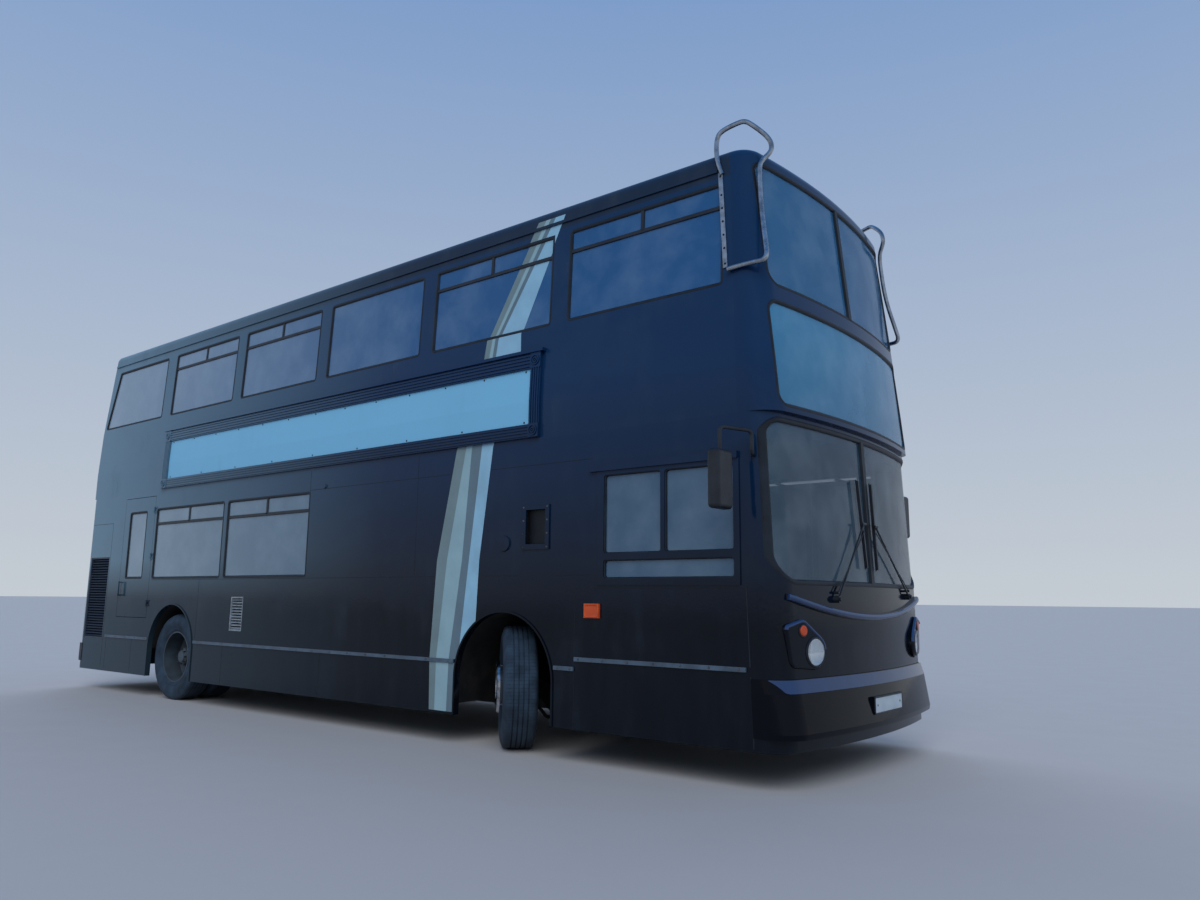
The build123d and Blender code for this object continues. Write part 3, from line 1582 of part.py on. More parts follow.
# Wipers. Columns: pivot y and height, blade foot y and height, blade head y and height
wiper_rows = ((-620, 1195, -141, 1422, -189, 2055), (774, 1223, 55, 1414, 55, 2052))
wiper_tube = 7
blade_width = 16


def on_front(y, height, proud):
    """A point in front of the lower deck's front surface."""
    return (front_face_x(lower_sections, y, height) + proud, y, height)


with BuildPart() as wipers:
    for pivot_y, pivot_z, foot_y, foot_z, head_y, head_z in wiper_rows:
        start = on_front(pivot_y, pivot_z, 30)
        with BuildLine() as arm:
            Polyline(start, on_front((foot_y + head_y) / 2, (foot_z + head_z) / 2, 34))
        with BuildSketch(Plane(origin=arm.line @ 0, z_dir=arm.line % 0)):
            Circle(wiper_tube)
        sweep(path=arm.wires()[0])
        with BuildLine() as blade:
            Polyline(on_front(foot_y, foot_z, 22), on_front(head_y, head_z, 22))
        with BuildSketch(Plane(origin=blade.line @ 0, z_dir=blade.line % 0)):
            Rectangle(blade_width, blade_width)
        sweep(path=blade.wires()[0])
        with BuildSketch(Plane.YZ.offset(start[0] + 10)):
            with Locations((pivot_y, pivot_z)):
                Circle(24)
        extrude(amount=-50)
    add(body_form(lower_sections, -fit), mode=Mode.SUBTRACT)

pieces = {
    "chassis_frame": chassis_frame, "engine": engine, "lower_floor": lower_floor,
    "rear_floor": rear_floor, "front_wheel_boxes": front_wheel_boxes,
    "rear_wheel_boxes": rear_wheel_boxes, "upper_floor": upper_floor, "staircase": staircase,
    "roof": roof, "offside_lower_panel": offside_lower_panel,
    "nearside_lower_panel": nearside_lower_panel, "offside_upper_panel": offside_upper_panel,
    "nearside_upper_panel": nearside_upper_panel, "front_lower_panel": front_lower_panel,
    "front_dome": front_dome, "rear_lower_panel": rear_lower_panel,
    "rear_upper_panel": rear_upper_panel, "front_bumper": front_bumper,
    "rear_bumper": rear_bumper, "front_glass": front_glass, "destination_glass": destination_glass,
    "offside_glass": offside_glass, "nearside_glass": nearside_glass,
    "emergency_door": emergency_door, "emergency_door_glass": emergency_door_glass,
    "engine_lid": engine_lid, "rear_exit": rear_exit, "panel_frame": panel_frame,
    "blank_panel": blank_panel, "side_louvres": side_louvres, "side_trim": side_trim,
    "headlamps": headlamps, "turn_lamps": turn_lamps, "tail_lamps": tail_lamps,
    "mirrors": mirrors, "branch_guards": branch_guards, "front_axle": front_axle,
    "rear_axle": rear_axle, "track_rod": track_rod, "cab": cab,
    "steering_wheel": steering_wheel, "driver_seat": driver_seat, "wipers": wipers,
}
finished = {name: piece.part for name, piece in pieces.items()}
finished.update(wheel_parts)
finished.update(entrance_parts)
for name, part in finished.items():
    part.label = name
    export_step(part, "parts/" + name + ".step")
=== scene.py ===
import json
import math

import bmesh
import bpy
from mathutils import Matrix, Vector


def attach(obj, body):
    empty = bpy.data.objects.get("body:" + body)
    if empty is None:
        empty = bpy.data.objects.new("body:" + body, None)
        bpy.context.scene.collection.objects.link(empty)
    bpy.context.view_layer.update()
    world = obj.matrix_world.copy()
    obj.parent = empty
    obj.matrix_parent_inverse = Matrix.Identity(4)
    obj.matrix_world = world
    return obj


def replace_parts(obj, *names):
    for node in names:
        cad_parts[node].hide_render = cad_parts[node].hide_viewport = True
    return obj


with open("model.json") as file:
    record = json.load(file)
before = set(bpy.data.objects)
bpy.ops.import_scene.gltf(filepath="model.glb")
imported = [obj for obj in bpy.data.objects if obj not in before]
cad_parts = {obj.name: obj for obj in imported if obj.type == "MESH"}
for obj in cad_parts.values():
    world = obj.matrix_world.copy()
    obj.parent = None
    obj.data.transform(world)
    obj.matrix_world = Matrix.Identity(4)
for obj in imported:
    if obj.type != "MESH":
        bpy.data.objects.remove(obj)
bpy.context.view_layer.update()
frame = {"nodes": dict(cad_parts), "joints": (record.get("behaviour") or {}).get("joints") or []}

# Driving sizes of the body in metres. Places along the bus are counted forward from the rear axle
REAR_AXLE = -2.755
WHEELBASE = 5.31
SIDE = 1.275
NOSE = 5.175
TAIL = -5.175
FRONT_BOW = 6.6
CORNER = 0.19
DECK_SEAM = 2.43

# Sections of the body. Columns: height, front setback, rear setback, side setback
LOWER_SECTIONS = ((0.24, 0.075, 0.045, 0.0), (1.32, 0.09, 0.045, 0.0), (2.43, 0.14, 0.045, 0.0))
UPPER_SECTIONS = (
    (2.43, 0.105, 0.015, 0.0), (2.75, 0.135, 0.015, 0.0), (3.3, 0.186, 0.015, 0.024),
    (4.18, 0.274, 0.116, 0.063), (4.395, 0.295, 0.143, 0.072),
)


def along(distance):
    """The place along the bus of a distance measured forward from the rear axle."""
    return REAR_AXLE + distance


def setbacks(height):
    """How far the body's nose, tail and sides stand back at a height."""
    sections = LOWER_SECTIONS if height < DECK_SEAM else UPPER_SECTIONS
    for low, high in zip(sections, sections[1:]):
        if height <= high[0]:
            break
    share = min(max((height - low[0]) / (high[0] - low[0]), 0.0), 1.0)
    return [a + (b - a) * share for a, b in zip(low[1:], high[1:])]


def right_side(x, height, proud):
    """A point over the body's right side, standing proud of it."""
    return Vector((x, -SIDE + setbacks(height)[2] - proud, height))


def mirrored(surface):
    """The same surface on the other side of the bus."""
    def other(across, height, proud):
        point = surface(across, height, proud)
        return Vector((point.x, -point.y, point.z))
    return other


left_side = mirrored(right_side)
SIDES = (right_side, left_side)


def bowed(y, height, proud, nose_back, side_back):
    """A point over a front whose nose and sides stand back by the given amounts."""
    middle_x = NOSE - nose_back - FRONT_BOW
    corner_y = SIDE - side_back - CORNER
    corner_x = middle_x + math.sqrt((FRONT_BOW - CORNER) ** 2 - corner_y ** 2)
    centre, radius = Vector((middle_x, 0.0)), FRONT_BOW
    if abs(y) > corner_y * FRONT_BOW / (FRONT_BOW - CORNER):
        centre, radius = Vector((corner_x, math.copysign(corner_y, y))), CORNER
    offset = y - centre.y
    outward = Vector((math.sqrt(max(radius ** 2 - offset ** 2, 0.0)), offset)) / radius
    place = centre + outward * (radius + proud)
    return Vector((place.x, place.y, height))


def front(y, height, proud):
    """A point over the bowed front, standing proud of it."""
    nose_back, _, side_back = setbacks(height)
    return bowed(y, height, proud, nose_back, side_back)


def rear(y, height, proud):
    return Vector((TAIL + setbacks(height)[1] - proud, y, height))


# Materials

TIMES = {"operation": "MULTIPLY"}


def linear(code):
    """A colour written as an sRGB hex code, as the linear numbers that the shaders take."""
    parts = [int(code[n:n + 2], 16) / 255 for n in (0, 2, 4)]
    return [p / 12.92 if p <= 0.04045 else ((p + 0.055) / 1.055) ** 2.4 for p in parts] + [1.0]


def add(tree, kind, settings=None, links=None):
    """Add one node to a material, with its settings and what feeds its inputs."""
    node = tree.nodes.new("ShaderNode" + kind)
    for name, value in (settings or {}).items():
        if isinstance(name, int) or name in node.inputs:
            node.inputs[name].default_value = value
        else:
            setattr(node, name, value)
    for name, source in (links or {}).items():
        tree.links.new(source, node.inputs[name])
    return node


def finish(name):
    """A new material: itself, its node tree, its surface shader and places in the piece's own metres."""
    material = bpy.data.materials.new(name)
    material.use_nodes = True
    tree = material.node_tree
    return material, tree, tree.nodes["Principled BSDF"], add(tree, "TexCoord").outputs["Object"]


def spread(tree, source, low, high, to_low=0.0, to_high=1.0):
    """Stretch a value from one range to another, clamped."""
    node = add(tree, "MapRange", {1: low, 2: high, 3: to_low, 4: to_high}, {0: source})
    return node.outputs[0]


def shade(tree, share, first, second):
    """Mix two colours, given as hex codes or sockets, by a share."""
    node = add(tree, "Mix", {"data_type": "RGBA"}, {"Factor": share})
    for socket, colour in (("A", first), ("B", second)):
        target = [s for s in node.inputs if s.name == socket and s.type == "RGBA"][0]
        if isinstance(colour, str):
            target.default_value = linear(colour)
        else:
            tree.links.new(colour, target)
    return [s for s in node.outputs if s.type == "RGBA"][0]


def mottle(tree, place, size, detail=4.0):
    """Cloudy noise whose patches are about the given size in metres."""
    settings = {"Scale": 1 / size, "Detail": detail, "Roughness": 0.55}
    return add(tree, "TexNoise", settings, {"Vector": place}).outputs["Fac"]


def relief(tree, shader, height, depth, strength):
    """Raise the surface by a height pattern, its depth in metres."""
    bump = add(tree, "Bump", {"Distance": depth, "Strength": strength}, {"Height": height})
    tree.links.new(bump.outputs["Normal"], shader.inputs["Normal"])


def coach_enamel(name, deep, sky_tint, dusty, gloss, wear, tail_reflection=0.8, index=1.3):
    """Brushed coach enamel on sheet metal: a deep gloss with soft orange peel and road dust. It is painted
    bluer and paler above the waist and paler towards the tail, as painted reflections of the sky."""
    material, tree, shader, place = finish(name)
    parts = add(tree, "SeparateXYZ", links={0: place}).outputs
    height = parts["Z"]
    # The painted sky reflection above the waist grows from 1 m to 2.9 m up. The painted paler tail, also a
    # sky reflection, grows over the rear 6 m and is slight on the skirt
    above_waist = spread(tree, height, 1.0, 2.9)
    to_tail = spread(tree, parts["X"], 1.0, -4.9, 0.0, tail_reflection)
    above_skirt = spread(tree, height, 1.15, 1.6, 0.2, 1.0)
    tail_reflection_mask = add(tree, "Math", TIMES, {0: to_tail, 1: above_skirt})
    # Painted sky reflections: bluer and paler above the waist, and a pale grey blue towards the tail
    colour = shade(tree, above_waist, deep, sky_tint)
    colour = shade(tree, tail_reflection_mask.outputs[0], colour, "597a8e")
    # Wiped dust lies in cloudy patches about 500 mm across, with streaks drawn out downwards
    stretched = add(tree, "Mapping", {"Scale": (1.0, 1.0, 0.18)}, {"Vector": place}).outputs[0]
    streaks = mottle(tree, stretched, 0.13, 6.0)
    clouds = mottle(tree, place, 0.5, 6.0)
    low_down = spread(tree, height, 0.2, 1.2, 0.5, 0.0)
    patches = spread(tree, clouds, 0.45, 0.75)
    runs = spread(tree, streaks, 0.42, 0.78, 0.15, 1.0)
    grime = add(tree, "Math", TIMES, {0: patches, 1: runs}).outputs[0]
    skirt = add(tree, "Math", TIMES, {0: low_down, 1: runs}).outputs[0]
    film = add(tree, "Math", {"operation": "MAXIMUM"}, {0: skirt, 1: grime}).outputs[0]
    share = add(tree, "Math", {"operation": "MULTIPLY", 1: wear, "use_clamp": True}, {0: film}).outputs[0]
    tree.links.new(shade(tree, share, colour, dusty), shader.inputs["Base Color"])
    tree.links.new(spread(tree, film, 0.0, 1.0, gloss, gloss + 0.22), shader.inputs["Roughness"])
    shader.inputs["IOR"].default_value = index
    # Orange peel is about 20 mm from crest to crest, and hand-beaten panels wave over about 600 mm
    peel = mottle(tree, place, 0.02, 2.0)
    waves = mottle(tree, place, 0.6, 1.0)
    ripple = add(tree, "Math", {"operation": "MULTIPLY_ADD", 1: 14.0}, {0: waves, 2: peel}).outputs[0]
    relief(tree, shader, ripple, 0.0003, 0.6)
    return material


def moulded(name, colour, second, roughness, grain=0.002, depth=0.0002, fade_size=0.15):
    """Moulded plastic or rubber: a fine even grain and slightly faded patches."""
    material, tree, shader, place = finish(name)
    fade = spread(tree, mottle(tree, place, fade_size), 0.35, 0.7)
    tree.links.new(shade(tree, fade, colour, second), shader.inputs["Base Color"])
    speckle = mottle(tree, place, grain, 2.0)
    tree.links.new(spread(tree, speckle, 0.2, 0.8, roughness - 0.06, roughness + 0.08),
                   shader.inputs["Roughness"])
    relief(tree, shader, speckle, depth, 0.6)
    return material


def bare_metal(name, colour, second, roughness, along_axis=(1.0, 1.0, 1.0)):
    """Bare or galvanised metal: rubbing marks drawn out along the tube or sheet, and dull spots."""
    material, tree, shader, place = finish(name)
    drawn = add(tree, "Mapping", {"Scale": along_axis}, {"Vector": place}).outputs[0]
    marks = mottle(tree, drawn, 0.004, 4.0)
    spots = spread(tree, mottle(tree, place, 0.06, 5.0), 0.4, 0.65)
    tree.links.new(shade(tree, spots, colour, second), shader.inputs["Base Color"])
    tree.links.new(spread(tree, marks, 0.3, 0.7, roughness - 0.08, roughness + 0.12),
                   shader.inputs["Roughness"])
    shader.inputs["Metallic"].default_value = 1.0
    relief(tree, shader, marks, 0.0001, 0.5)
    return material


def window_glass(name, low, high, cover, film="7a8c97", roughness=0.02, dust=0.2, tail_reflection=0.6):
    """Toughened glass: a body tint, deeper blue upstairs, that covers what lies behind by a share, a painted
    sky reflection that makes it paler towards the tail, and drifts of dust."""
    material, tree, shader, place = finish(name)
    parts = add(tree, "SeparateXYZ", links={0: place}).outputs
    colour = shade(tree, spread(tree, parts["Z"], 2.2, 3.4), low, high)
    # Painted reflection of the sky: the glass turns paler towards the tail
    colour = shade(tree, spread(tree, parts["X"], 1.5, -5.2, 0.0, tail_reflection), colour, "8ba1b0")
    drifts = spread(tree, mottle(tree, place, 0.35, 5.0), 0.42, 0.8)
    dusted = add(tree, "Math", {"operation": "MULTIPLY", 1: dust}, {0: drifts}).outputs[0]
    tree.links.new(shade(tree, dusted, colour, film), shader.inputs["Base Color"])
    tree.links.new(spread(tree, drifts, 0.0, 1.0, roughness, roughness + 0.15), shader.inputs["Roughness"])
    tree.links.new(spread(tree, drifts, 0.0, 1.0, cover, min(cover + 0.2, 1.0)), shader.inputs["Alpha"])
    shader.inputs["IOR"].default_value = 1.5
    return material


def worn_tyre(name, colour, dust):
    """Road tyre rubber: cut sipes across the ribs, a dusty tread and sidewall, and painted shade that keeps
    the sipes blacker.
    """
    material, tree, shader, place = finish(name)
    parts = add(tree, "SeparateXYZ", links={0: place}).outputs
    flat = add(tree, "VectorMath", {"operation": "MULTIPLY", 1: (1.0, 1.0, 0.0)}, {0: place}).outputs[0]
    radius = add(tree, "VectorMath", {"operation": "LENGTH"}, {0: flat}).outputs["Value"]
    turn = add(tree, "Math", {"operation": "ARCTAN2"}, {0: parts["Y"], 1: parts["X"]}).outputs[0]
    # A sipe every 28 mm round the tread, which is 108 in one turn
    count = add(tree, "Math", {"operation": "MULTIPLY", 1: 108 / (2 * math.pi)}, {0: turn}).outputs[0]
    saw = add(tree, "Math", {"operation": "FRACT"}, {0: count}).outputs[0]
    sipe = spread(tree, add(tree, "Math", {"operation": "PINGPONG", 1: 0.5}, {0: saw}).outputs[0],
                  0.0, 0.08, 1.0, 0.0)
    outer = spread(tree, radius, 0.462, 0.47)
    cut = add(tree, "Math", TIMES, {0: sipe, 1: outer}).outputs[0]
    clouds = spread(tree, mottle(tree, place, 0.12, 5.0), 0.3, 0.7, 0.25, 1.0)
    # Painted shade: the dust colour is kept out of the sipes, so they stay black
    dark = add(tree, "Math", {"operation": "SUBTRACT", 0: 1.0}, {1: cut}).outputs[0]
    share = add(tree, "Math", TIMES, {0: clouds, 1: dark}).outputs[0]
    tree.links.new(shade(tree, share, colour, dust), shader.inputs["Base Color"])
    shader.inputs["Roughness"].default_value = 0.82
    relief(tree, shader, dark, 0.0012, 0.8)
    return material


def slatted_metal(name, dark, pale, change_x):
    """Pressed louvre slats: painted dark in the rear grille and bare, dulled aluminium ahead of it."""
    material, tree, shader, place = finish(name)
    x = add(tree, "SeparateXYZ", links={0: place}).outputs["X"]
    ahead = spread(tree, x, change_x - 0.01, change_x + 0.01)
    spots = spread(tree, mottle(tree, place, 0.05, 5.0), 0.4, 0.65, 0.0, 0.5)
    worn = shade(tree, spots, shade(tree, ahead, dark, pale), "3f4144")
    tree.links.new(worn, shader.inputs["Base Color"])
    tree.links.new(spread(tree, spots, 0.0, 0.5, 0.38, 0.6), shader.inputs["Roughness"])
    relief(tree, shader, mottle(tree, place, 0.01, 3.0), 0.0003, 0.4)
    return material


def moquette(name, colour, second):
    """Woven seat moquette: a short pile rubbed paler in patches. Its threads are drawn 5 mm apart, coarser
    than real ones, so that they show."""
    material, tree, shader, place = finish(name)
    weave = add(tree, "TexWave", {"Scale": 60.0, "Distortion": 1.5, "Detail": 2.0}, {"Vector": place})
    patches = spread(tree, mottle(tree, place, 0.08), 0.35, 0.7)
    tree.links.new(shade(tree, patches, colour, second), shader.inputs["Base Color"])
    shader.inputs["Roughness"].default_value = 0.9
    shader.inputs["Sheen Weight"].default_value = 0.3
    relief(tree, shader, weave.outputs["Fac"], 0.0008, 0.6)
    return material


navy_enamel = coach_enamel("navy_enamel", "050810", "0b2849", "2a3b4c", 0.1, 0.26)
flat_enamel = coach_enamel("weathered_enamel", "070c16", "0e2a4a", "334554", 0.2, 0.36)
roof_enamel = coach_enamel("roof_enamel", "0c1521", "152438", "3e4852", 0.3, 0.5)
bumper_enamel = coach_enamel("bumper_enamel", "05070e", "05070e", "181f2b", 0.07, 0.2, index=1.22)
# Painted highlight: a lighter blue enamel for the brow, the pod edges and the bumper bevel stands in for the
# sky's sheen on them
sky_highlight_enamel = coach_enamel("painted_highlight_enamel", "1b3257", "1b3257", "0f192a", 0.08, 0.7, 0.0, 1.5)
# The white blank board is painted sky blue: painted blue shade from the sky
board_enamel = coach_enamel("pale_board", "66a1c3", "66a1c3", "6191ae", 0.35, 0.3, 0.0)
black_moulding = moulded("black_moulding", "0e1117", "1a1f27", 0.42)
window_rubber = moulded("window_rubber", "070a10", "111a24", 0.5)
sealant = moulded("black_sealant", "030407", "090c11", 0.6)
chassis_paint = moulded("chassis_paint", "0c0c0c", "24221f", 0.65, 0.01, 0.0006)
cast_iron = moulded("cast_iron", "232324", "3e3a36", 0.75, 0.004, 0.0006)
lino = moulded("safety_lino", "1a1d24", "2b3139", 0.6, 0.003)
grey_lining = moulded("grey_lining", "313134", "48494c", 0.6, 0.004)
box_lining = moulded("wheel_box_lining", "0b0b0c", "1d1c1a", 0.8, 0.01, 0.0006)
wheel_paint = moulded("wheel_enamel", "34414d", "282c30", 0.5, 0.01, 0.0004)
rail_alloy = moulded("skirt_rail_alloy", "33414f", "43566a", 0.32, 0.004, 0.0001)
tyre_rubber = worn_tyre("tyre_rubber", "0c1119", "2a3b4c")
saloon_glass = window_glass("saloon_glass", "37546d", "194c7c", 0.86, tail_reflection=0.75)
windscreen_glass = window_glass("windscreen_glass", "314759", "2a6694", 0.58, dust=0.3)
sign_glass = window_glass("sign_glass", "2f698d", "377ea7", 0.78)
amber_lens = moulded("amber_lens", "9e3609", "b54815", 0.2)
red_lens = moulded("red_lens", "5e0909", "731010", 0.2)
lamp_bowl = bare_metal("lamp_bowl", "cfd3d6", "e6e8ea", 0.12)
lamp_glass = window_glass("lamp_glass", "a8b8c3", "a8b8c3", 0.3, "adb6ba", 0.03, 0.1, 0.0)
mirror_glass = bare_metal("mirror_glass", "dfe3e6", "cfd5d9", 0.05)
bright_tube = bare_metal("polished_tube", "b9bbbd", "8d8f92", 0.28, (1.0, 1.0, 0.1))
bright_trim = bare_metal("polished_trim", "c9ccd0", "7f7a74", 0.2)
bare_nut = bare_metal("plated_nuts", "7e7b76", "4d4640", 0.45)
slats = slatted_metal("louvre_slats", "162438", "76838e", -2.2)
plate_sheet = moulded("plate_sheet", "9fafba", "8c9ba7", 0.3)
seat_cloth = moquette("seat_moquette", "161c2a", "23293a")
# Vinyl of the striped band, from the rear to the front
STRIPE_SHADES = [
    moulded(name + "_vinyl", colour, second, 0.35, 0.004, 0.0001, 0.3) for name, colour, second in (
        ("stone", "60767d", "576b71"), ("pale", "7999a4", "6f8e99"), ("grey", "4f6674", "495e6a"),
        ("bright", "7aa5bf", "6f96ae"),
    )
]

FINISHES = {
    navy_enamel: (
        "offside_lower_panel", "nearside_lower_panel", "front_lower_panel", "front_dome",
        "emergency_door", "panel_frame", "entrance_rear_leaf", "entrance_front_leaf",
    ),
    flat_enamel: (
        "offside_upper_panel", "nearside_upper_panel", "rear_lower_panel", "rear_upper_panel", "engine_lid",
    ),
    roof_enamel: ("roof",),
    bumper_enamel: ("front_bumper",),
    board_enamel: ("blank_panel",),
    black_moulding: (
        "rear_bumper", "mirrors", "steering_wheel", "wipers", "entrance_rear_arms", "entrance_front_arms",
    ),
    rail_alloy: ("side_trim",),
    saloon_glass: (
        "offside_glass", "nearside_glass", "emergency_door_glass", "rear_exit", "entrance_rear_glass",
        "entrance_front_glass",
    ),
    windscreen_glass: ("front_glass",),
    sign_glass: ("destination_glass",),
    slats: ("side_louvres",),
    lamp_bowl: ("headlamps",),
    amber_lens: ("turn_lamps",),
    red_lens: ("tail_lamps",),
    bright_tube: ("branch_guards",),
    chassis_paint: (
        "chassis_frame", "front_axle", "rear_axle", "track_rod", "front_right_knuckle",
        "front_left_knuckle",
    ),
    cast_iron: ("engine",),
    lino: ("lower_floor", "rear_floor", "upper_floor"),
    grey_lining: ("staircase", "cab"),
    box_lining: ("front_wheel_boxes", "rear_wheel_boxes"),
    wheel_paint: ("front_right_rim", "front_left_rim", "rear_right_rims", "rear_left_rims"),
    tyre_rubber: ("front_right_tyre", "front_left_tyre", "rear_right_tyres", "rear_left_tyres"),
    seat_cloth: ("driver_seat",),
}
for material, nodes in FINISHES.items():
    for node in nodes:
        mesh = frame["nodes"][node].data
        mesh.materials.clear()
        mesh.materials.append(material)

# Tools for the pieces


def stand(name, data, place=Matrix()):
    """Put a mesh, curve, light or camera into the scene."""
    thing = bpy.data.objects.new(name, data)
    thing.matrix_world = place
    bpy.context.scene.collection.objects.link(thing)
    return thing


def facing(place, outward, side="Y"):
    """A frame at a place whose Z axis points outward."""
    turn = Vector(outward).to_track_quat("Z", side).to_matrix().to_4x4()
    return Matrix.Translation(place) @ turn


def settle(shape, name, material, body="body", place=Matrix()):
    """Turn a mesh being built into a piece that rides on a body."""
    bmesh.ops.recalc_face_normals(shape, faces=shape.faces)
    mesh = bpy.data.meshes.new(name)
    shape.to_mesh(mesh)
    shape.free()
    mesh.materials.append(material)
    piece = stand(name, mesh, place)
    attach(piece, body)
    return piece


def smooth(piece, angle=40):
    """Shade a piece smooth apart from edges sharper than an angle."""
    for face in piece.data.polygons:
        face.use_smooth = True
    piece.data.set_sharp_from_angle(angle=math.radians(angle))
    return piece


def rounded(corners, radii, step=0.06):
    """Points round a closed outline with rounded corners, none further apart than a step."""
    points = []
    count = len(corners)
    for n in range(count):
        before, here, after = (Vector(corners[(n + k - 1) % count]) for k in range(3))
        back, ahead = (before - here).normalized(), (after - here).normalized()
        half = math.acos(max(-1.0, min(1.0, back.dot(ahead)))) / 2
        reach = radii[n] / math.tan(half)
        centre = here + (back + ahead).normalized() * radii[n] / math.sin(half)
        start, end = here + back * reach - centre, here + ahead * reach - centre
        turns = min(12, max(2, int(radii[n] / 0.012)))
        for k in range(turns + 1):
            share = k / turns
            points.append(centre + (start * (1 - share) + end * share).normalized() * radii[n])
    filled = []
    for start, end in zip(points, points[1:] + points[:1]):
        parts = max(1, math.ceil((end - start).length / step))
        filled += [start.lerp(end, k / parts) for k in range(parts)]
    return filled


def rectangle(left, right, low, high, foot, head=None, step=0.06):
    """An upright rectangle with rounded corners, whose radii may differ at its foot and head."""
    corners = ((left, low), (right, low), (right, high), (left, high))
    head = foot if head is None else head
    return rounded(corners, (foot, foot, head, head), step)


def run(start, end, step):
    """Points along a straight line, none further apart than a step."""
    start, end = Vector(start), Vector(end)
    parts = max(1, math.ceil((end - start).length / step))
    return [start.lerp(end, k / parts) for k in range(parts + 1)]


def skin(shape, rows):
    """Join neighbouring rows of points with faces."""
    for first, second in zip(rows, rows[1:]):
        for k in range(len(first) - 1):
            shape.faces.new((first[k], first[k + 1], second[k + 1], second[k]))


def lay(shape, path, profile, surface, closed=True):
    """Sweep a profile along a path drawn on a surface. Columns of the profile: across, proud."""
    rows = []
    count = len(path)
    for n, point in enumerate(path):
        before = path[(n - 1) % count] if closed or n else point
        after = path[(n + 1) % count] if closed or n < count - 1 else point
        line = (after - before).normalized()
        across = Vector((line.y, -line.x))
        rows.append([
            shape.verts.new(surface(*(point + across * shift), proud)) for shift, proud in profile
        ])
    skin(shape, rows + rows[:1] if closed else rows)
    if not closed:
        shape.faces.new(rows[0])
        shape.faces.new(reversed(rows[-1]))


def rod(shape, start, end, radius, sides=10):
    """A round rod between two points."""
    start, end = Vector(start), Vector(end)
    bmesh.ops.create_cone(shape, cap_ends=True, segments=sides, radius1=radius, radius2=radius,
                          depth=(end - start).length, matrix=facing((start + end) / 2, end - start))


def turned(shape, profile, steps, place=Matrix()):
    """Revolve a profile about a frame's Z axis. Columns: radius, distance along the axis."""
    turns = [2 * math.pi * k / steps for k in range(steps)]
    rings = []
    for radius, z in profile:
        rings.append([
            shape.verts.new(place @ Vector((radius * math.cos(a), radius * math.sin(a), z)))
            for a in (turns if radius else turns[:1])
        ])
    for first, second in zip(rings, rings[1:]):
        for k in range(steps):
            corners = []
            for ring, n in ((first, k), (first, k + 1), (second, k + 1), (second, k)):
                corner = ring[n % len(ring)]
                if corner not in corners:
                    corners.append(corner)
            shape.faces.new(corners)


def dome(shape, place, outward, radius=0.009, rise=0.004):
    """A low round screw head on a surface."""
    turned(shape, ((radius, 0.0), (0.8 * radius, 0.7 * rise), (0.0, rise)), 8, facing(place, outward))


# Window rubbers, lapping the glass and the panel. Columns of a section: across, proud of the body
RUBBER = ((-0.018, -0.0145), (-0.015, -0.006), (-0.006, 0.002), (0.008, 0.002), (0.012, -0.003))
SLIM_RUBBER = ((-0.01, -0.0145), (-0.008, -0.004), (-0.002, 0.002), (0.007, 0.002), (0.01, -0.003))
WIDE_RUBBER = ((-0.02, -0.0145), (-0.016, -0.002), (-0.008, 0.004), (0.012, 0.004), (0.018, -0.003))
PANE_CORNER = 0.024
UPPER_SILL = 3.37
UPPER_HEAD = 4.13
LOWER_SILL = 1.375
LOWER_HEAD = 2.205
HOPPER = 0.165
BAR = 0.026


def window_row(rear_edge, front_edge, post, count, sill, head, plain):
    """A row of equal windows, one of them plain. Columns: start, end, sill, head, has small opening panes."""
    pitch = (front_edge - rear_edge + post) / count
    return [
        (rear_edge + n * pitch, rear_edge + (n + 1) * pitch - post, sill, head, n != plain)
        for n in range(count)
    ]


upper_bays = window_row(-0.51, WHEELBASE + 2.02, 0.185, 5, UPPER_SILL, UPPER_HEAD, 2)
lower_bays = window_row(-0.56, WHEELBASE + 0.51, 0.087, 4, LOWER_SILL, LOWER_HEAD, 3)
rear_low_bay = (-1.55, -0.647, LOWER_SILL, LOWER_HEAD, False)
SLANTED_PANE = ((-2.257, UPPER_SILL), (-0.74, UPPER_SILL), (-0.74, UPPER_HEAD), (-2.053, UPPER_HEAD))
# Columns: start and end ahead of the front axle, sill, head
CAB_PANES = ((1.015, 1.52, 1.51, 2.09), (1.555, 2.105, 1.51, 2.09), (1.015, 2.105, 1.33, 1.465))


def pane_path(start, end, sill, head, radius=PANE_CORNER):
    return rectangle(along(start), along(end), sill, head, radius)


def bar_section(half_width, foot, face):
    """A flat bar with bevelled edges. Its foot and its face stand proud by the given amounts."""
    return [(k * half_width, proud) for k, proud in ((-1, foot), (-0.8, face), (0.8, face), (1, foot))]


BAR_SECTION = bar_section(0.017, -0.013, -0.004)
rubbers = bmesh.new()
bars = bmesh.new()
for surface, bays in ((right_side, upper_bays + lower_bays[:2]),
                      (left_side, upper_bays + lower_bays + [rear_low_bay])):
    for start, end, sill, head, has_hopper in bays:
        lay(rubbers, pane_path(start, end, sill, head), RUBBER, surface)
        if has_hopper:
            middle = along((start + end) / 2)
            level = head - HOPPER - BAR / 2
            lay(bars, run((along(start), level), (along(end), level), 0.2), BAR_SECTION, surface, False)
            lay(bars, run((middle, level), (middle, head), 0.2), BAR_SECTION, surface, False)
    slanted = rounded([(along(x), z) for x, z in SLANTED_PANE], [PANE_CORNER] * 4)
    lay(rubbers, slanted, RUBBER, surface)
for start, end, sill, head in CAB_PANES:
    lay(rubbers, pane_path(WHEELBASE + start, WHEELBASE + end, sill, head), SLIM_RUBBER, right_side)
smooth(settle(rubbers, "side_window_rubbers", window_rubber), 60)
settle(bars, "window_bars", black_moulding)


def front_path(half, sill, head, foot_radius, head_radius):
    return rectangle(-half, half, sill, head, foot_radius, head_radius, 0.05)


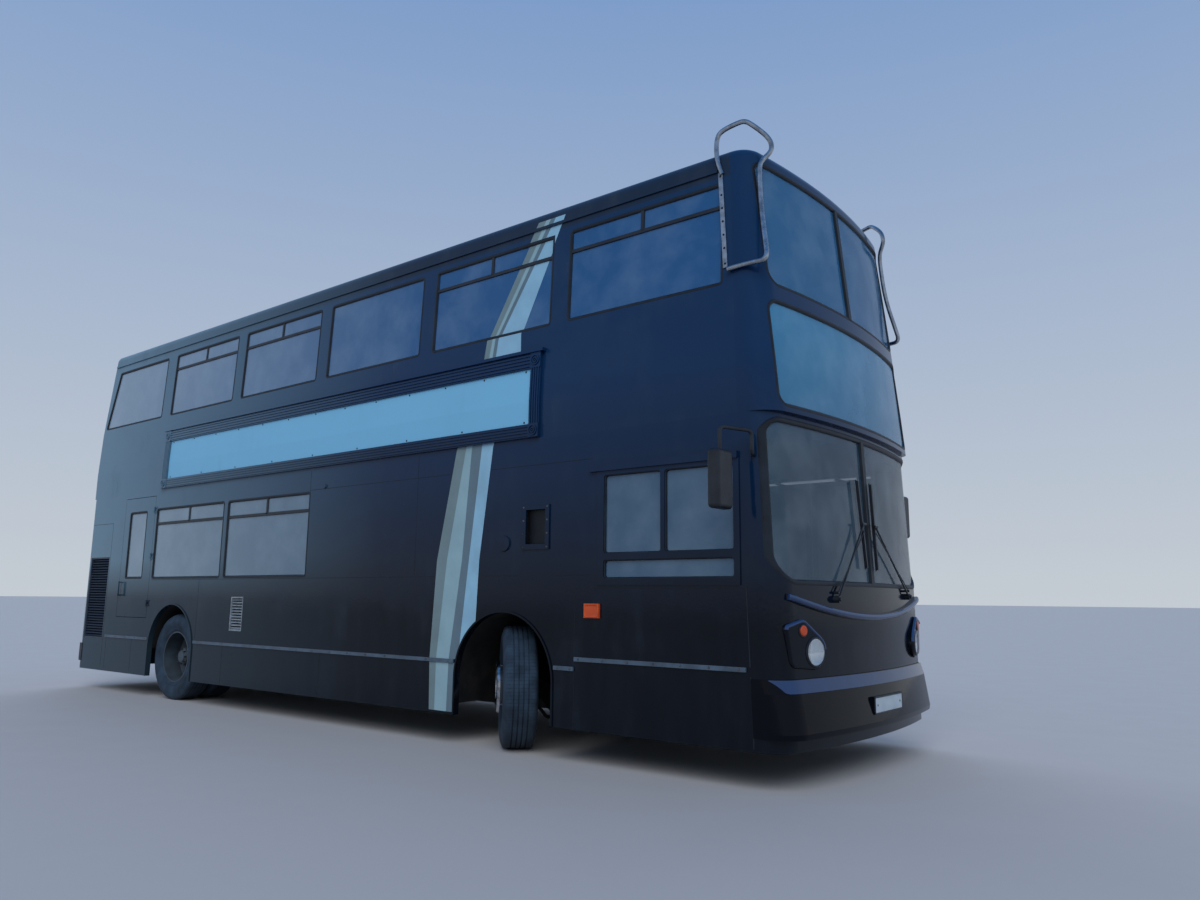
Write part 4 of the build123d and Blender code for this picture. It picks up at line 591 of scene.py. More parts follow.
# Panes of the front and the rear exit. Columns: half width, sill, head, corner radius at foot and at head
WINDSCREEN = (1.245, 1.3, 2.378, 0.19, 0.1)
SIGN_PANE = (1.165, 2.475, 3.225, 0.085, 0.085)
UPPER_FRONT = (1.135, 3.345, 4.27, 0.11, 0.06)
REAR_EXIT = (0.62, 3.385, 4.06, 0.06, 0.06)
front_rubbers = bmesh.new()
for pane, section in ((WINDSCREEN, WIDE_RUBBER), (SIGN_PANE, RUBBER), (UPPER_FRONT, RUBBER)):
    lay(front_rubbers, front_path(*pane), section, front)
for pane, half_width in ((WINDSCREEN, 0.032), (UPPER_FRONT, 0.028)):
    sill, head = pane[1:3]
    post = bar_section(half_width, -0.012, 0.005)
    lay(front_rubbers, run((0.0, sill), (0.0, head), 0.1), post, front, False)
smooth(settle(front_rubbers, "front_window_rubbers", window_rubber), 60)

door_rubber = bmesh.new()
lay(door_rubber, pane_path(-1.25, -0.819, 1.38, 2.19, 0.02), RUBBER, right_side)
smooth(settle(door_rubber, "emergency_door_rubber", window_rubber, "emergency_door"), 60)
EXIT_RUBBER = ((-0.004, -0.004), (0.0, 0.003), (0.02, 0.003), (0.024, -0.002))
exit_rubber = bmesh.new()
lay(exit_rubber, front_path(*REAR_EXIT), EXIT_RUBBER, rear)
smooth(settle(exit_rubber, "rear_exit_rubber", window_rubber), 60)

# Entrance leaves: rubber round the glass and a soft edge where the leaves meet
DOORWAY = 1.19
MEETING_GAP = 0.012
JAMB_GAP = 0.014
LEAF_HALF = (DOORWAY - MEETING_GAP - 2 * JAMB_GAP) / 4
GLASS_HALF = LEAF_HALF - 0.048
LEAF_SILL = 0.458
LEAF_HEAD = 2.214
LEAF_OUTER = 1.265
LEAF_RUBBER = ((-0.014, -0.015), (-0.01, -0.002), (0.0, 0.003), (0.01, 0.0))
MEETING_RUBBER = ((-0.01, -0.001), (-0.006, 0.004), (0.004, 0.004), (0.006, -0.001))


def leaf_face(x, height, proud):
    return Vector((x, LEAF_OUTER + proud, height))


for name, toward, middle in (
    ("rear", 1, along(WHEELBASE + 0.885) + JAMB_GAP + LEAF_HALF),
    ("front", -1, along(WHEELBASE + 2.075) - JAMB_GAP - LEAF_HALF),
):
    edge = bmesh.new()
    lay(edge, rectangle(middle - GLASS_HALF, middle + GLASS_HALF, LEAF_SILL, LEAF_HEAD, 0.02, step=0.3),
        LEAF_RUBBER, leaf_face)
    meeting = middle + toward * (LEAF_HALF - 0.006)
    meeting_line = run((meeting, LEAF_SILL - 0.038), (meeting, LEAF_HEAD + 0.036), 0.4)
    lay(edge, meeting_line, MEETING_RUBBER, leaf_face, False)
    settle(edge, "entrance_" + name + "_rubber", window_rubber, "entrance_" + name + "_leaf")

# The striped band: four vinyl tapes from the roof's edge to the skirt.
# Columns: height, then the places of the five edges from the rear
STRIPE_ROWS = (
    (4.3, 5.545, 5.63, 5.68, 5.735, 5.84),
    (3.35, 5.011, 5.075, 5.11, 5.15, 5.41),
    (3.2, 4.99, 5.05, 5.09, 5.13, 5.418),
    (2.419, 4.708, 4.822, 4.895, 5.015, 5.148),
    (1.49, 4.511, 4.635, 4.819, 4.903, 5.025),
    (0.68, 4.463, 4.546, 4.7, 4.81, 4.99),
    (0.26, 4.479, 4.546, 4.69, 4.788, 4.97),
)
VINYL = 0.0012
GLASS_DEPTH = 0.014
LAP = 0.012
BOARD_FRAME = (2.45, 3.176)
SKIRT_RAIL = (0.652, 0.682)
ARCH_RADIUS = 0.5425
ARCH_CENTRE = Vector((along(WHEELBASE), 0.0, 0.544))
ARCH_CUTS = [Vector((math.cos(a), 0.0, math.sin(a))) for a in (math.radians(88 + 4 * k) for k in range(24))]


def stripe_tape(name, number, material):
    """One tape of the band, cut at the window and at the arch, laid on the panels and on the glass."""
    shape = bmesh.new()
    rows = []
    for first, second in zip(STRIPE_ROWS, STRIPE_ROWS[1:]):
        rows += [[a + (b - a) * k / 8 for a, b in zip(first, second)] for k in range(8)]
    corners = []
    for row in rows + [STRIPE_ROWS[-1]]:
        start, end = along(row[1 + number]), along(row[2 + number])
        corners.append([shape.verts.new((x, 0.0, row[0])) for x in (start, start * 0.5 + end * 0.5, end)])
    skin(shape, corners)
    folds = [section[0] for section in UPPER_SECTIONS[:-1]]
    hopper_bar = (UPPER_HEAD - HOPPER - BAR - 0.004, UPPER_HEAD - HOPPER + 0.004)
    levels = (*folds, *BOARD_FRAME, UPPER_SILL - LAP, UPPER_HEAD + LAP, *hopper_bar, *SKIRT_RAIL)
    windows = [(along(bay[0]) - LAP, along(bay[1]) + LAP) for bay in upper_bays]
    cuts = [(z, (0, 0, 1)) for z in levels] + [(x, (1, 0, 0)) for pair in windows for x in pair]
    planes = [(Vector(normal) * level, normal) for level, normal in cuts]
    planes += [(ARCH_CENTRE + outward * ARCH_RADIUS, outward) for outward in ARCH_CUTS]
    for place, normal in planes:
        everything = shape.verts[:] + shape.edges[:] + shape.faces[:]
        bmesh.ops.bisect_plane(shape, geom=everything, plane_co=place, plane_no=normal)
    gone = []
    for face in shape.faces:
        middle = face.calc_center_median()
        behind_frame = BOARD_FRAME[0] < middle.z < BOARD_FRAME[1]
        in_rail = SKIRT_RAIL[0] < middle.z < SKIRT_RAIL[1]
        in_arch = all((middle - ARCH_CENTRE).dot(outward) < ARCH_RADIUS for outward in ARCH_CUTS)
        if behind_frame or in_rail or in_arch:
            gone.append(face)
    bmesh.ops.delete(shape, geom=gone, context="FACES")
    bmesh.ops.split_edges(shape, edges=shape.edges)
    for face in shape.faces:
        middle = face.calc_center_median()
        over_glass = (UPPER_SILL - LAP < middle.z < UPPER_HEAD + LAP
                      and any(start < middle.x < end for start, end in windows))
        proud = VINYL - GLASS_DEPTH if over_glass else VINYL
        for corner in face.verts:
            corner.co = right_side(corner.co.x, corner.co.z, proud)
    settle(shape, name, material)


for number, material in enumerate(STRIPE_SHADES):
    stripe_tape("stripe_tape_" + str(number + 1), number, material)

# Panel seams filled with sealant, on both sides behind the cab. Columns: start and end as place, height
CAB_REAR = 5.0
SEAMS = (
    ((4.22, 1.36), (4.22, 2.42)), ((2.59, 2.225), (6.2, 2.225)), ((2.59, 1.356), (5.46, 1.356)),
    ((5.82, 1.356), (6.25, 1.356)), ((2.59, 1.36), (2.59, 2.42)), ((6.05, 0.25), (6.05, 1.26)),
    ((6.05, 1.26), (7.5, 1.26)), ((-1.612, 0.27), (-1.612, 0.65)), ((-0.931, 0.27), (-0.931, 0.65)),
    ((1.152, 0.25), (1.152, 0.65)), ((2.9, 0.25), (2.9, 0.65)), ((-1.71, 0.3), (-1.71, 2.08)),
    ((-2.27, 2.08), (-1.71, 2.08)), ((0.56, 0.7), (0.56, 1.356)), ((-0.56, 1.356), (2.59, 1.356)),
)
SEAM_SECTION = ((-0.0025, -0.0005), (-0.0018, 0.0007), (0.0018, 0.0007), (0.0025, -0.0005))
seams = bmesh.new()
for start, end in SEAMS:
    ends = [(along(x), z) for x, z in (start, end)]
    for surface in SIDES if start[0] < CAB_REAR else SIDES[:1]:
        lay(seams, run(*ends, 0.4), SEAM_SECTION, surface, False)
settle(seams, "panel_seams", sealant)

# Screw heads. Columns: first and last as place, height, how many, how far the surface stands proud
SCREW_ROWS = (
    ((-0.30, 3.0), (5.5, 3.0), 13, 0.010), ((-0.30, 2.578), (5.5, 2.578), 9, 0.010),
    ((-1.58, 0.667), (-0.58, 0.667), 5, 0.0123), ((0.62, 0.667), (4.7, 0.667), 16, 0.0123),
    ((5.9, 0.672), (6.02, 0.672), 2, 0.0123), ((6.1, 0.743), (7.44, 0.743), 7, 0.0123),
    ((5.521, 1.576), (5.521, 1.89), 4, 0.012), ((5.77, 1.576), (5.77, 1.89), 4, 0.012),
)
screws, board_screws = bmesh.new(), bmesh.new()
for start, end, count, proud in SCREW_ROWS:
    for n in range(count):
        share = n / (count - 1)
        place = right_side(along(start[0] + (end[0] - start[0]) * share),
                           start[1] + (end[1] - start[1]) * share, proud)
        dome(board_screws if start[1] > DECK_SEAM else screws, place, (0.0, -1.0, 0.0))
smooth(settle(screws, "side_screws", bare_nut))
smooth(settle(board_screws, "board_screws", sealant))

# The open filler hatch's hollow is lined black as painted shade
HATCH_DEPTH = 0.034
hatch = bmesh.new()
HATCH_CORNERS = ((0.237, 1.602), (0.438, 1.602), (0.438, 1.868), (0.237, 1.868))
back = [(along(WHEELBASE + x), z) for x, z in HATCH_CORNERS]
deep = [hatch.verts.new(right_side(x, z, -HATCH_DEPTH)) for x, z in back]
rim = [hatch.verts.new(right_side(x, z, 0.004)) for x, z in back]
hatch.faces.new(deep)
for k in range(4):
    hatch.faces.new((deep[k], deep[(k + 1) % 4], rim[(k + 1) % 4], rim[k]))
settle(hatch, "hatch_painted_shade", sealant)

# Wheels: where each one turns, from the record's joints
spins = {joint["child"]: joint for joint in frame["joints"] if joint["name"].endswith("_spin")}


def wheel_place(body, side):
    """The wheel's middle with its axle along Z, pointing out of the bus."""
    joint = spins[body]
    return facing(joint["pos_m"], Vector(joint["axis"]) * side, "X")


TYRE_RADIUS = 0.4785
GROOVES = (-0.057, -0.019, 0.019, 0.057)
tread = []
for place in GROOVES:
    tread += [(TYRE_RADIUS, place - 0.005), (TYRE_RADIUS - 0.011, place - 0.0035),
              (TYRE_RADIUS - 0.011, place + 0.0035), (TYRE_RADIUS, place + 0.005)]
wall = [
    (0.2862, -0.1), (0.292, -0.108), (0.311, -0.1185), (0.322, -0.1215), (0.326, -0.119), (0.34, -0.1265),
    (0.376, -0.1362), (0.398, -0.1372), (0.404, -0.1355), (0.4185, -0.1335), (0.445, -0.126),
    (0.4665, -0.1155), (0.474, -0.105), (TYRE_RADIUS, -0.0925),
]
TYRE_SECTION = wall + tread + [(radius, -z) for radius, z in reversed(wall)]
SINGLE = (0.0,)
TWINS = (-0.155, 0.155)
# Columns: body, side, node of its tyres, their shifts along the axle
WHEELS = (
    ("front_right_wheel", -1, "front_right_tyre", SINGLE), ("front_left_wheel", 1, "front_left_tyre", SINGLE),
    ("rear_right_wheels", -1, "rear_right_tyres", TWINS), ("rear_left_wheels", 1, "rear_left_tyres", TWINS),
)
for body, side, node, shifts in WHEELS:
    shape = bmesh.new()
    for shift in shifts:
        turned(shape, TYRE_SECTION + TYRE_SECTION[:1], 108, Matrix.Translation((0.0, 0.0, shift)))
    tyre = settle(shape, node + "_treaded", tyre_rubber, body, wheel_place(body, side))
    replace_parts(smooth(tyre, 35), node)


def nut_ring(shape, circle, height, count, radius=0.017, rise=0.03):
    """Wheel nuts on their studs in a ring about the Z axis."""
    for n in range(count):
        turn = 2 * math.pi * n / count
        x, y, foot = circle * math.cos(turn), circle * math.sin(turn), height - 0.004
        rod(shape, (x, y, foot), (x, y, foot + rise), radius, 6)
        rod(shape, (x, y, foot), (x, y, foot + rise + 0.014), radius * 0.55, 8)


# The bright ring that guards the front wheel nuts. Columns: radius, distance out from the tyre's middle
NUT_GUARD = (
    (0.15, 0.158), (0.158, 0.171), (0.182, 0.178), (0.2, 0.172), (0.207, 0.15), (0.202, 0.15),
    (0.196, 0.166), (0.18, 0.172), (0.162, 0.166), (0.154, 0.156),
)
GUARD_LEGS = 5
GUARD_LEG_CIRCLE = 0.163
# Rings of nuts. Columns: radius of the ring, height, how many, size of a nut where it isn't a wheel nut
FRONT_NUTS = (0.1435, 0.066, 10)
REAR_NUTS = (0.158, 0.014, 10)
REAR_HUB_NUTS = (0.082, 0.18, 8, 0.009, 0.014)
FRONT_HUB = ((0.114, 0.1435), (0.11, 0.152), (0.08, 0.156), (0.074, 0.162), (0.0, 0.164))
REAR_HUB = ((0.068, 0.1895), (0.064, 0.2), (0.03, 0.206), (0.0, 0.206))
for body, side, _, shifts in WHEELS:
    place = wheel_place(body, side)
    nuts = bmesh.new()
    if shifts == SINGLE:
        nut_ring(nuts, *FRONT_NUTS)
        guard = bmesh.new()
        turned(guard, NUT_GUARD + NUT_GUARD[:1], 72)
        for k in range(GUARD_LEGS):
            turn = 2 * math.pi * k / GUARD_LEGS
            x, y = math.cos(turn) * GUARD_LEG_CIRCLE, math.sin(turn) * GUARD_LEG_CIRCLE
            rod(guard, (x, y, 0.06), (x, y, 0.165), 0.008, 8)
        smooth(settle(guard, body + "_nut_guard", bright_trim, body, place))
        hub_profile, hub_finish = FRONT_HUB, bare_nut
    else:
        nut_ring(nuts, *REAR_NUTS)
        nut_ring(nuts, *REAR_HUB_NUTS)
        hub_profile, hub_finish = REAR_HUB, wheel_paint
    hub = bmesh.new()
    turned(hub, hub_profile, 40)
    smooth(settle(hub, body + "_hub_cover", hub_finish, body, place))
    settle(nuts, body + "_nuts", bare_nut, body, place)

# Headlamps: a bright bowl behind clear glass in a dark bezel, on the outward-facing pods
POD_TURN = math.radians(12)
TURN_LAMP_OUT = 0.122
TURN_LAMP_UP = 0.137
BOWL = ((0.0, -0.0185), (0.02, -0.018), (0.05, -0.013), (0.075, -0.002), (0.086, 0.0035))
LENS = ((0.0865, 0.002), (0.084, 0.009), (0.06, 0.0135), (0.03, 0.0155), (0.0, 0.016))
BEZEL = ((0.0852, 0.0005), (0.0856, 0.008), (0.091, 0.011), (0.098, 0.006), (0.1, 0.0005))
TURN_BEZEL = ((0.0345, 0.002), (0.035, 0.007), (0.04, 0.008), (0.044, 0.003), (0.045, 0.0005))
POD_HEIGHT = 0.855
POD_Y = 0.93
POD_X = front(POD_Y, POD_HEIGHT, 0.0).x + 0.026
bowls, glasses, bezels = bmesh.new(), bmesh.new(), bmesh.new()
for side in (-1, 1):
    pod = facing((POD_X, side * POD_Y, POD_HEIGHT), (math.cos(POD_TURN), side * math.sin(POD_TURN), 0.0))
    turn_lamp = Matrix.Translation((-math.tan(POD_TURN) * TURN_LAMP_OUT, side * TURN_LAMP_OUT, TURN_LAMP_UP))
    for shape, profile, place in (
        (bowls, BOWL, pod), (glasses, LENS, pod), (bezels, BEZEL, pod), (bezels, TURN_BEZEL, turn_lamp @ pod),
    ):
        turned(shape, profile, 48, place)
bowl_piece = smooth(settle(bowls, "headlamp_bowls", lamp_bowl))
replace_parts(bowl_piece, "headlamps")
smooth(settle(glasses, "headlamp_glasses", lamp_glass))
smooth(settle(bezels, "lamp_bezels", black_moulding))

# The brow below the windscreen and each lamp pod's upper edge end in a rounded bead, painted a lighter blue
# as a painted highlight
POD_OUTWARD = Vector((math.cos(POD_TURN), -math.sin(POD_TURN), 0.0))
POD_ACROSS = Vector((math.sin(POD_TURN), math.cos(POD_TURN), 0.0))
BROW_BEAD = (
    (-0.021, 0.016), (-0.018, 0.027), (-0.009, 0.034), (0.0, 0.036), (0.009, 0.034), (0.018, 0.027),
    (0.021, 0.016),
)
POD_BEAD = (
    (-0.013, -0.014), (-0.01, -0.001), (-0.004, 0.006), (0.004, 0.006), (0.01, -0.001), (0.013, -0.016),
)
# Arcs round the pod's edge. Columns: centre across and up from the headlamp, radius, start and end angle
POD_ARCS = ((-0.262, 0.15, 0.016, 190, 103), (-0.125, 0.137, 0.06, 103, 56), (0.0, 0.0, 0.106, 56, 8))
BROW_END = 1.17
BROW_HEIGHT = 1.07
BROW_RISE = 0.138


def right_pod(across, up, proud):
    return Vector((POD_X, -POD_Y, POD_HEIGHT + up)) + POD_ACROSS * across + POD_OUTWARD * proud


beads = bmesh.new()
brow = [Vector((y, BROW_HEIGHT + BROW_RISE * (y / BROW_END) ** 2))
        for y in (BROW_END * k / 24 for k in range(-24, 25))]
lay(beads, brow, BROW_BEAD, front, False)
pod_edge = []
for across, up, radius, first, last in POD_ARCS:
    for k in range(9):
        turn = math.radians(first + (last - first) * k / 8)
        pod_edge.append(Vector((across + radius * math.cos(turn), up + radius * math.sin(turn))))
for surface in (right_pod, mirrored(right_pod)):
    lay(beads, pod_edge, POD_BEAD, surface, False)
smooth(settle(beads, "front_beads", sky_highlight_enamel), 80)

# A painted highlight in lighter blue lies on the bumper's upper bevel and narrows at both ends.
# Columns of its edges: height, proud, nose setback, side setback
BEVEL_HEAD = (0.687, 0.002, 0.065, -0.004)
BEVEL_FOOT = (0.605, 0.002, 0.04, -0.006)
BEVEL_HALF = 1.27
BEVEL_TAPER = 0.05
bevel = bmesh.new()
bevel_rows = []
for k in range(-30, 31):
    y = BEVEL_HALF * math.sin(math.radians(3 * k))
    taper = min(1.0, (BEVEL_HALF - abs(y)) / BEVEL_TAPER + 0.05)
    head, foot = bowed(y, *BEVEL_HEAD), bowed(y, *BEVEL_FOOT)
    bevel_rows.append([bevel.verts.new(head.lerp(foot, share * taper)) for share in (0.0, 0.5, 1.0)])
skin(bevel, bevel_rows)
smooth(settle(bevel, "bumper_bevel_highlight", sky_highlight_enamel), 80)

# Cover strips over the joints ahead of the right side panels. Columns: start and end as place, height
COVER_STRIPS = (((7.535, 0.26), (7.52, 0.7)), ((7.517, 0.76), (7.498, 1.28)))
COVER_SECTION = ((-0.0045, 0.0), (-0.003, 0.003), (0.003, 0.003), (0.0045, 0.0))
covers = bmesh.new()
for start, end in COVER_STRIPS:
    joint_line = run((along(start[0]), start[1]), (along(end[0]), end[1]), 0.3)
    lay(covers, joint_line, COVER_SECTION, right_side, False)
settle(covers, "joint_covers", window_rubber)

# The side markers' lenses have rounded rims
MARKER_RIM = ((-0.009, 0.0185), (-0.006, 0.0215), (0.003, 0.0215), (0.007, 0.016), (0.008, 0.0))
markers = bmesh.new()
for surface, start, end in ((right_side, 0.85, 0.974), (left_side, 0.718, 0.842)):
    lay(markers, pane_path(WHEELBASE + start, WHEELBASE + end, 1.052, 1.14, 0.014), MARKER_RIM, surface)
smooth(settle(markers, "side_marker_rims", amber_lens), 50)

# Branch guards: a tube bent round each upper front corner, standing on a strip along the side
GUARD_TUBE = 0.018
STRIP_SECTION = ((-0.018, 0.0), (-0.018, 0.008), (0.018, 0.008), (0.018, 0.0))
STRIP_FOOT = (along(WHEELBASE + 2.0502), 3.48)
STRIP_HEAD = (along(WHEELBASE + 2.0002), 4.215)
# Columns: place along the bus, out from the middle, height
GUARD_BENDS = (
    (4.57, 1.213, 4.2), (4.535, 1.215, 4.3), (4.52, 1.212, 4.4), (4.525, 1.205, 4.5), (4.56, 1.2, 4.545),
    (4.68, 1.18, 4.575), (4.735, 1.165, 4.58), (4.775, 1.14, 4.55), (4.845, 1.08, 4.48), (4.88, 1.055, 4.42),
    (4.885, 1.055, 4.36), (4.865, 1.07, 4.32), (4.835, 1.1, 4.28), (4.822, 1.12, 4.24), (4.82, 1.13, 4.17),
    (4.843, 1.15, 3.87), (4.905, 1.21, 3.575), (4.92, 1.232, 3.5), (4.895, 1.242, 3.47),
    (4.845, 1.25, 3.468), (4.69, 1.268, 3.462), (4.635, 1.27, 3.455),
)
for name, side in (("right", -1), ("left", 1)):
    curve = bpy.data.curves.new(name + "_guard_hoop", "CURVE")
    curve.dimensions = "3D"
    curve.bevel_depth = GUARD_TUBE
    curve.bevel_resolution = 3
    curve.resolution_u = 10
    curve.use_fill_caps = True
    spline = curve.splines.new("NURBS")
    spline.points.add(len(GUARD_BENDS) - 1)
    for point, (x, y, z) in zip(spline.points, GUARD_BENDS):
        point.co = (x, side * y, z, 1.0)
    spline.order_u = 3
    spline.use_endpoint_u = True
    curve.materials.append(bright_tube)
    hoop = stand(name + "_guard_hoop", curve)
    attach(hoop, "body")
    if side < 0:
        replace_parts(hoop, "branch_guards")
strips, strip_screws = bmesh.new(), bmesh.new()
for surface in SIDES:
    lay(strips, run(STRIP_FOOT, STRIP_HEAD, 0.2), STRIP_SECTION, surface, False)
    for share in (0.04, 0.2, 0.34, 0.48, 0.62, 0.76, 0.96):
        place = [a + (b - a) * share for a, b in zip(STRIP_FOOT, STRIP_HEAD)]
        dome(strip_screws, surface(*place, 0.008), surface(0, 0, 1) - surface(0, 0, 0))
settle(strips, "guard_strips", bright_tube)
smooth(settle(strip_screws, "guard_screws", sealant))

# A blank plate on the bumper's pad, in a thin frame with two screws
PLATE_X = 5.167
PLATE_EDGES = (-0.255, 0.255, 0.417, 0.523)
PLATE_PROUD = 0.0035
PLATE_SCREWS = (-0.21, 0.21)
PLATE_RIM = ((-0.004, 0.0002), (-0.003, 0.006), (0.006, 0.006), (0.008, 0.0002))


def pad_face(y, height, proud):
    return Vector((PLATE_X + proud, y, height))


plate = bmesh.new()
plate_edge = rectangle(*PLATE_EDGES, 0.01, step=0.6)
plate.faces.new([plate.verts.new(pad_face(*point, PLATE_PROUD)) for point in plate_edge])
settle(plate, "blank_plate", plate_sheet)
plate_rim = bmesh.new()
lay(plate_rim, rectangle(*PLATE_EDGES, 0.01, step=0.3), PLATE_RIM, pad_face)
for y in PLATE_SCREWS:
    dome(plate_rim, pad_face(y, 0.47, PLATE_PROUD), (1.0, 0.0, 0.0), 0.008, 0.003)
settle(plate_rim, "plate_holder", black_moulding)

# Mirror glasses on the rear faces of the two heads
MIRROR_X = along(WHEELBASE + 2.19) - 0.045
MIRROR_Y = 1.59
MIRROR_HEIGHT = 1.94
MIRROR_EDGE = ((-0.0005, 0.003), (0.004, -0.001))


def mirror_face(y, height, proud):
    return Vector((MIRROR_X - proud, y, MIRROR_HEIGHT + height))


glass = bmesh.new()
for middle in (-MIRROR_Y, MIRROR_Y):
    outline = rectangle(middle - 0.072, middle + 0.072, -0.165, 0.165, 0.025, step=0.4)
    glass.faces.new([glass.verts.new(mirror_face(*point, 0.003)) for point in outline])
    lay(glass, outline, MIRROR_EDGE, mirror_face)
settle(glass, "mirror_glasses", mirror_glass)

# Wiper linkage: a second thin link beside each arm, a clip and a rubber under each blade.
# Columns: pivot across and up, blade foot, blade head
WIPERS = ((-0.62, 1.195, -0.141, 1.422, -0.189, 2.055), (0.774, 1.223, 0.055, 1.414, 0.055, 2.052))
wiper_parts = bmesh.new()
for pivot_y, pivot_z, foot_y, foot_z, head_y, head_z in WIPERS:
    clip_y, clip_z = (foot_y + head_y) / 2, (foot_z + head_z) / 2
    link_z = pivot_z + 0.045
    # Columns: both ends as across, up and proud, then radius and sides
    for first, last, radius, sides in (
        ((pivot_y, link_z, 0.03), (clip_y, clip_z - 0.05, 0.036), 0.004, 10),
        ((clip_y - 0.03, clip_z, 0.036), (clip_y + 0.03, clip_z, 0.036), 0.011, 10),
        ((foot_y, foot_z - 0.01, 0.01), (head_y, head_z + 0.01, 0.01), 0.005, 6),
        ((pivot_y, pivot_z, 0.03), (pivot_y, pivot_z, 0.052), 0.014, 8),
        ((pivot_y, link_z, 0.0), (pivot_y, link_z, 0.036), 0.009, 8),
    ):
        rod(wiper_parts, front(*first), front(*last), radius, sides)
settle(wiper_parts, "wiper_links", black_moulding)

# Grab poles. Columns: places along the bus, left of the middle, foot, head
POLE_RADIUS = 0.016
POLE_ROWS = (
    ((5.6,), 0.36, 0.37, 2.31), ((5.6,), -0.36, 0.37, 2.31), ((3.4, 1.8), 0.5, 0.37, 2.31),
    ((6.3,), 0.42, 0.37, 2.31), ((-1.0,), 0.5, 0.9, 2.31), ((-1.6, 0.2, 1.8, 3.4, 5.2), 0.42, 2.4, 4.35),
)
poles = bmesh.new()
for places, y, foot, head in POLE_ROWS:
    for x in places:
        rod(poles, (along(x), y, foot), (along(x), y, head), POLE_RADIUS, 12)
settle(poles, "grab_poles", bright_tube)

# A plain dark blind hangs behind the destination glass
BLIND_FOOT = 2.46
BLIND_HEAD = 3.24
BLIND_HALF = 1.15
BLIND_DEPTH = 0.075
blind = bmesh.new()
skin(blind, [
    [blind.verts.new(front(BLIND_HALF * k / 8, z, -BLIND_DEPTH)) for k in range(-8, 9)]
    for z in (BLIND_FOOT, BLIND_HEAD)
])
settle(blind, "sign_blind", black_moulding)

# The driver's seat: two crowned moquette cushions on a plain pedestal
SEAT_X = along(WHEELBASE + 1.23)
SEAT_Y = -0.75


def cushion(name, size, place, tilt, crown):
    """A crowned cushion with pulled-in sides, leaning by a tilt in degrees."""
    shape = bmesh.new()
    bmesh.ops.create_cube(shape, size=1.0)
    bmesh.ops.subdivide_edges(shape, edges=shape.edges, cuts=6, use_grid_fill=True)
    for corner in shape.verts:
        x, y, z = (2 * value for value in corner.co)
        edge = (1 - x ** 4) * (1 - y ** 4)
        pull = 1 - 0.05 * (1 - abs(z)) * (abs(x) ** 6 + abs(y) ** 6)
        swell = 1 + crown * edge if z > 0 else 1.0
        thick = z * size[2] / 2 * swell * (0.7 + 0.3 * edge)
        corner.co = (x * size[0] / 2 * pull, y * size[1] / 2 * pull, thick)
    turn = Matrix.Translation(place) @ Matrix.Rotation(math.radians(tilt), 4, "Y")
    piece = smooth(settle(shape, name, seat_cloth, "body", turn), 80)
    rounding = piece.modifiers.new("rounding", "SUBSURF")
    rounding.levels = rounding.render_levels = 2
    return piece


seat_pad = cushion("seat_cushion", (0.44, 0.47, 0.1), (SEAT_X + 0.055, SEAT_Y, 0.965), -3, 0.35)
cushion("seat_back", (0.62, 0.46, 0.085), (SEAT_X - 0.205, SEAT_Y, 1.33), -97, 0.3)
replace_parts(seat_pad, "driver_seat")
PEDESTAL = (
    (0.0, 0.0), (0.16, 0.0), (0.16, 0.02), (0.09, 0.05), (0.075, 0.1), (0.075, 0.26), (0.13, 0.3),
    (0.15, 0.33), (0.15, 0.345), (0.0, 0.345),
)
pedestal = bmesh.new()
turned(pedestal, PEDESTAL, 32)
pedestal_place = Matrix.Translation((SEAT_X + 0.02, SEAT_Y, 0.5702))
smooth(settle(pedestal, "seat_pedestal", black_moulding, "body", pedestal_place))

# Stage, light and camera

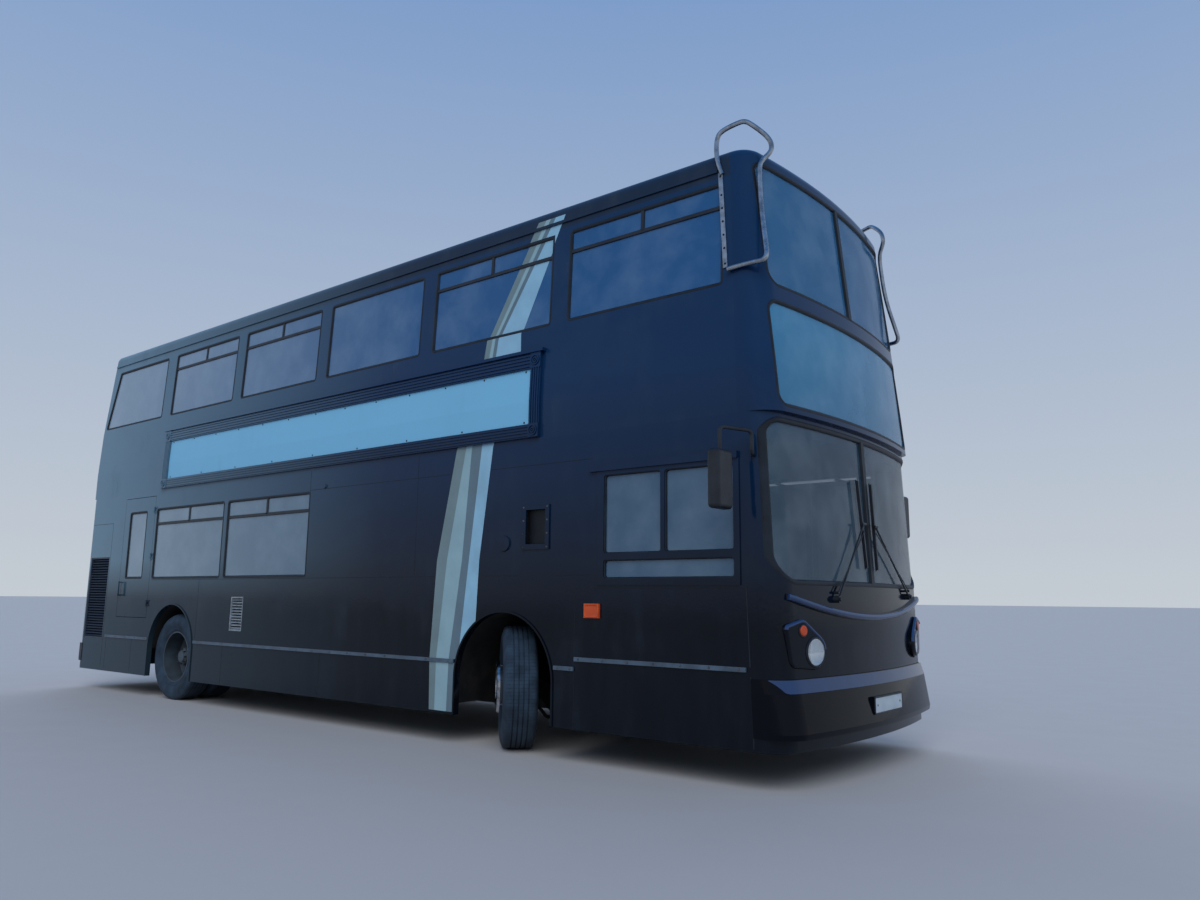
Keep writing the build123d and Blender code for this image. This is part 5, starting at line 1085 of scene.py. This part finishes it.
FLOOR_REACH = 400.0
floor_material, tree, shader, place = finish("studio_floor")
shader.inputs["Base Color"].default_value = linear("909397")
floor_grain = mottle(tree, place, 0.5)
tree.links.new(spread(tree, floor_grain, 0.3, 0.7, 0.82, 0.95), shader.inputs["Roughness"])
floor_mesh = bpy.data.meshes.new("studio_floor")
floor_corners = [(x * FLOOR_REACH, y * FLOOR_REACH, 0.0) for x, y in ((-1, -1), (1, -1), (1, 1), (-1, 1))]
floor_mesh.from_pydata(floor_corners, [], [(0, 1, 2, 3)])
floor_mesh.materials.append(floor_material)
floor = stand("studio_floor", floor_mesh)

world = bpy.data.worlds.new("studio_world")
bpy.context.scene.world = world
world.use_nodes = True
sky = world.node_tree
direction = add(sky, "TexCoord").outputs["Generated"]
overhead = spread(sky, add(sky, "SeparateXYZ", links={0: direction}).outputs["Z"], 0.0, 0.8)
sky.links.new(shade(sky, overhead, "dfe7ef", "5f9ae0"), sky.nodes["Background"].inputs["Color"])
sky.nodes["Background"].inputs["Strength"].default_value = 0.75


def wide_sun(name, toward, spread_angle, strength, colour):
    """A wide soft light from one side of the sky, given the direction that it comes from."""
    data = bpy.data.lights.new(name, "SUN")
    data.angle = math.radians(spread_angle)
    data.energy = strength
    data.color = linear(colour)[:3]
    lamp = stand(name, data, facing((0.0, 0.0, 0.0), toward))
    lamp.visible_glossy = False


# The light comes mostly over the right side and the front, and more weakly from behind on the left
wide_sun("key_light", (0.42, -0.6, 0.68), 50, 2.75, "fff8f0")
wide_sun("back_light", (-0.5, 0.55, 0.67), 60, 1.6, "eef4ff")

# The camera's place and turn, found from the bus's own straight lines
CAMERA_PLACE = (7.6623, -6.4994, 1.1819)
CAMERA_YAW = math.radians(38.396)
CAMERA_PITCH = math.radians(9.388)
CAMERA_ROLL = math.radians(0.5647)
turn = (Matrix.Rotation(CAMERA_YAW, 4, "Z") @ Matrix.Rotation(math.pi / 2 + CAMERA_PITCH, 4, "X")
        @ Matrix.Rotation(CAMERA_ROLL, 4, "Z"))
camera_data = bpy.data.cameras.new("camera")
camera_data.sensor_width = 36.0
camera_data.lens = 27.03
camera_data.clip_end = 1500.0
camera = stand("camera", camera_data, Matrix.Translation(CAMERA_PLACE) @ turn)
bpy.context.scene.camera = camera
bpy.context.scene.view_settings.view_transform = "Standard"
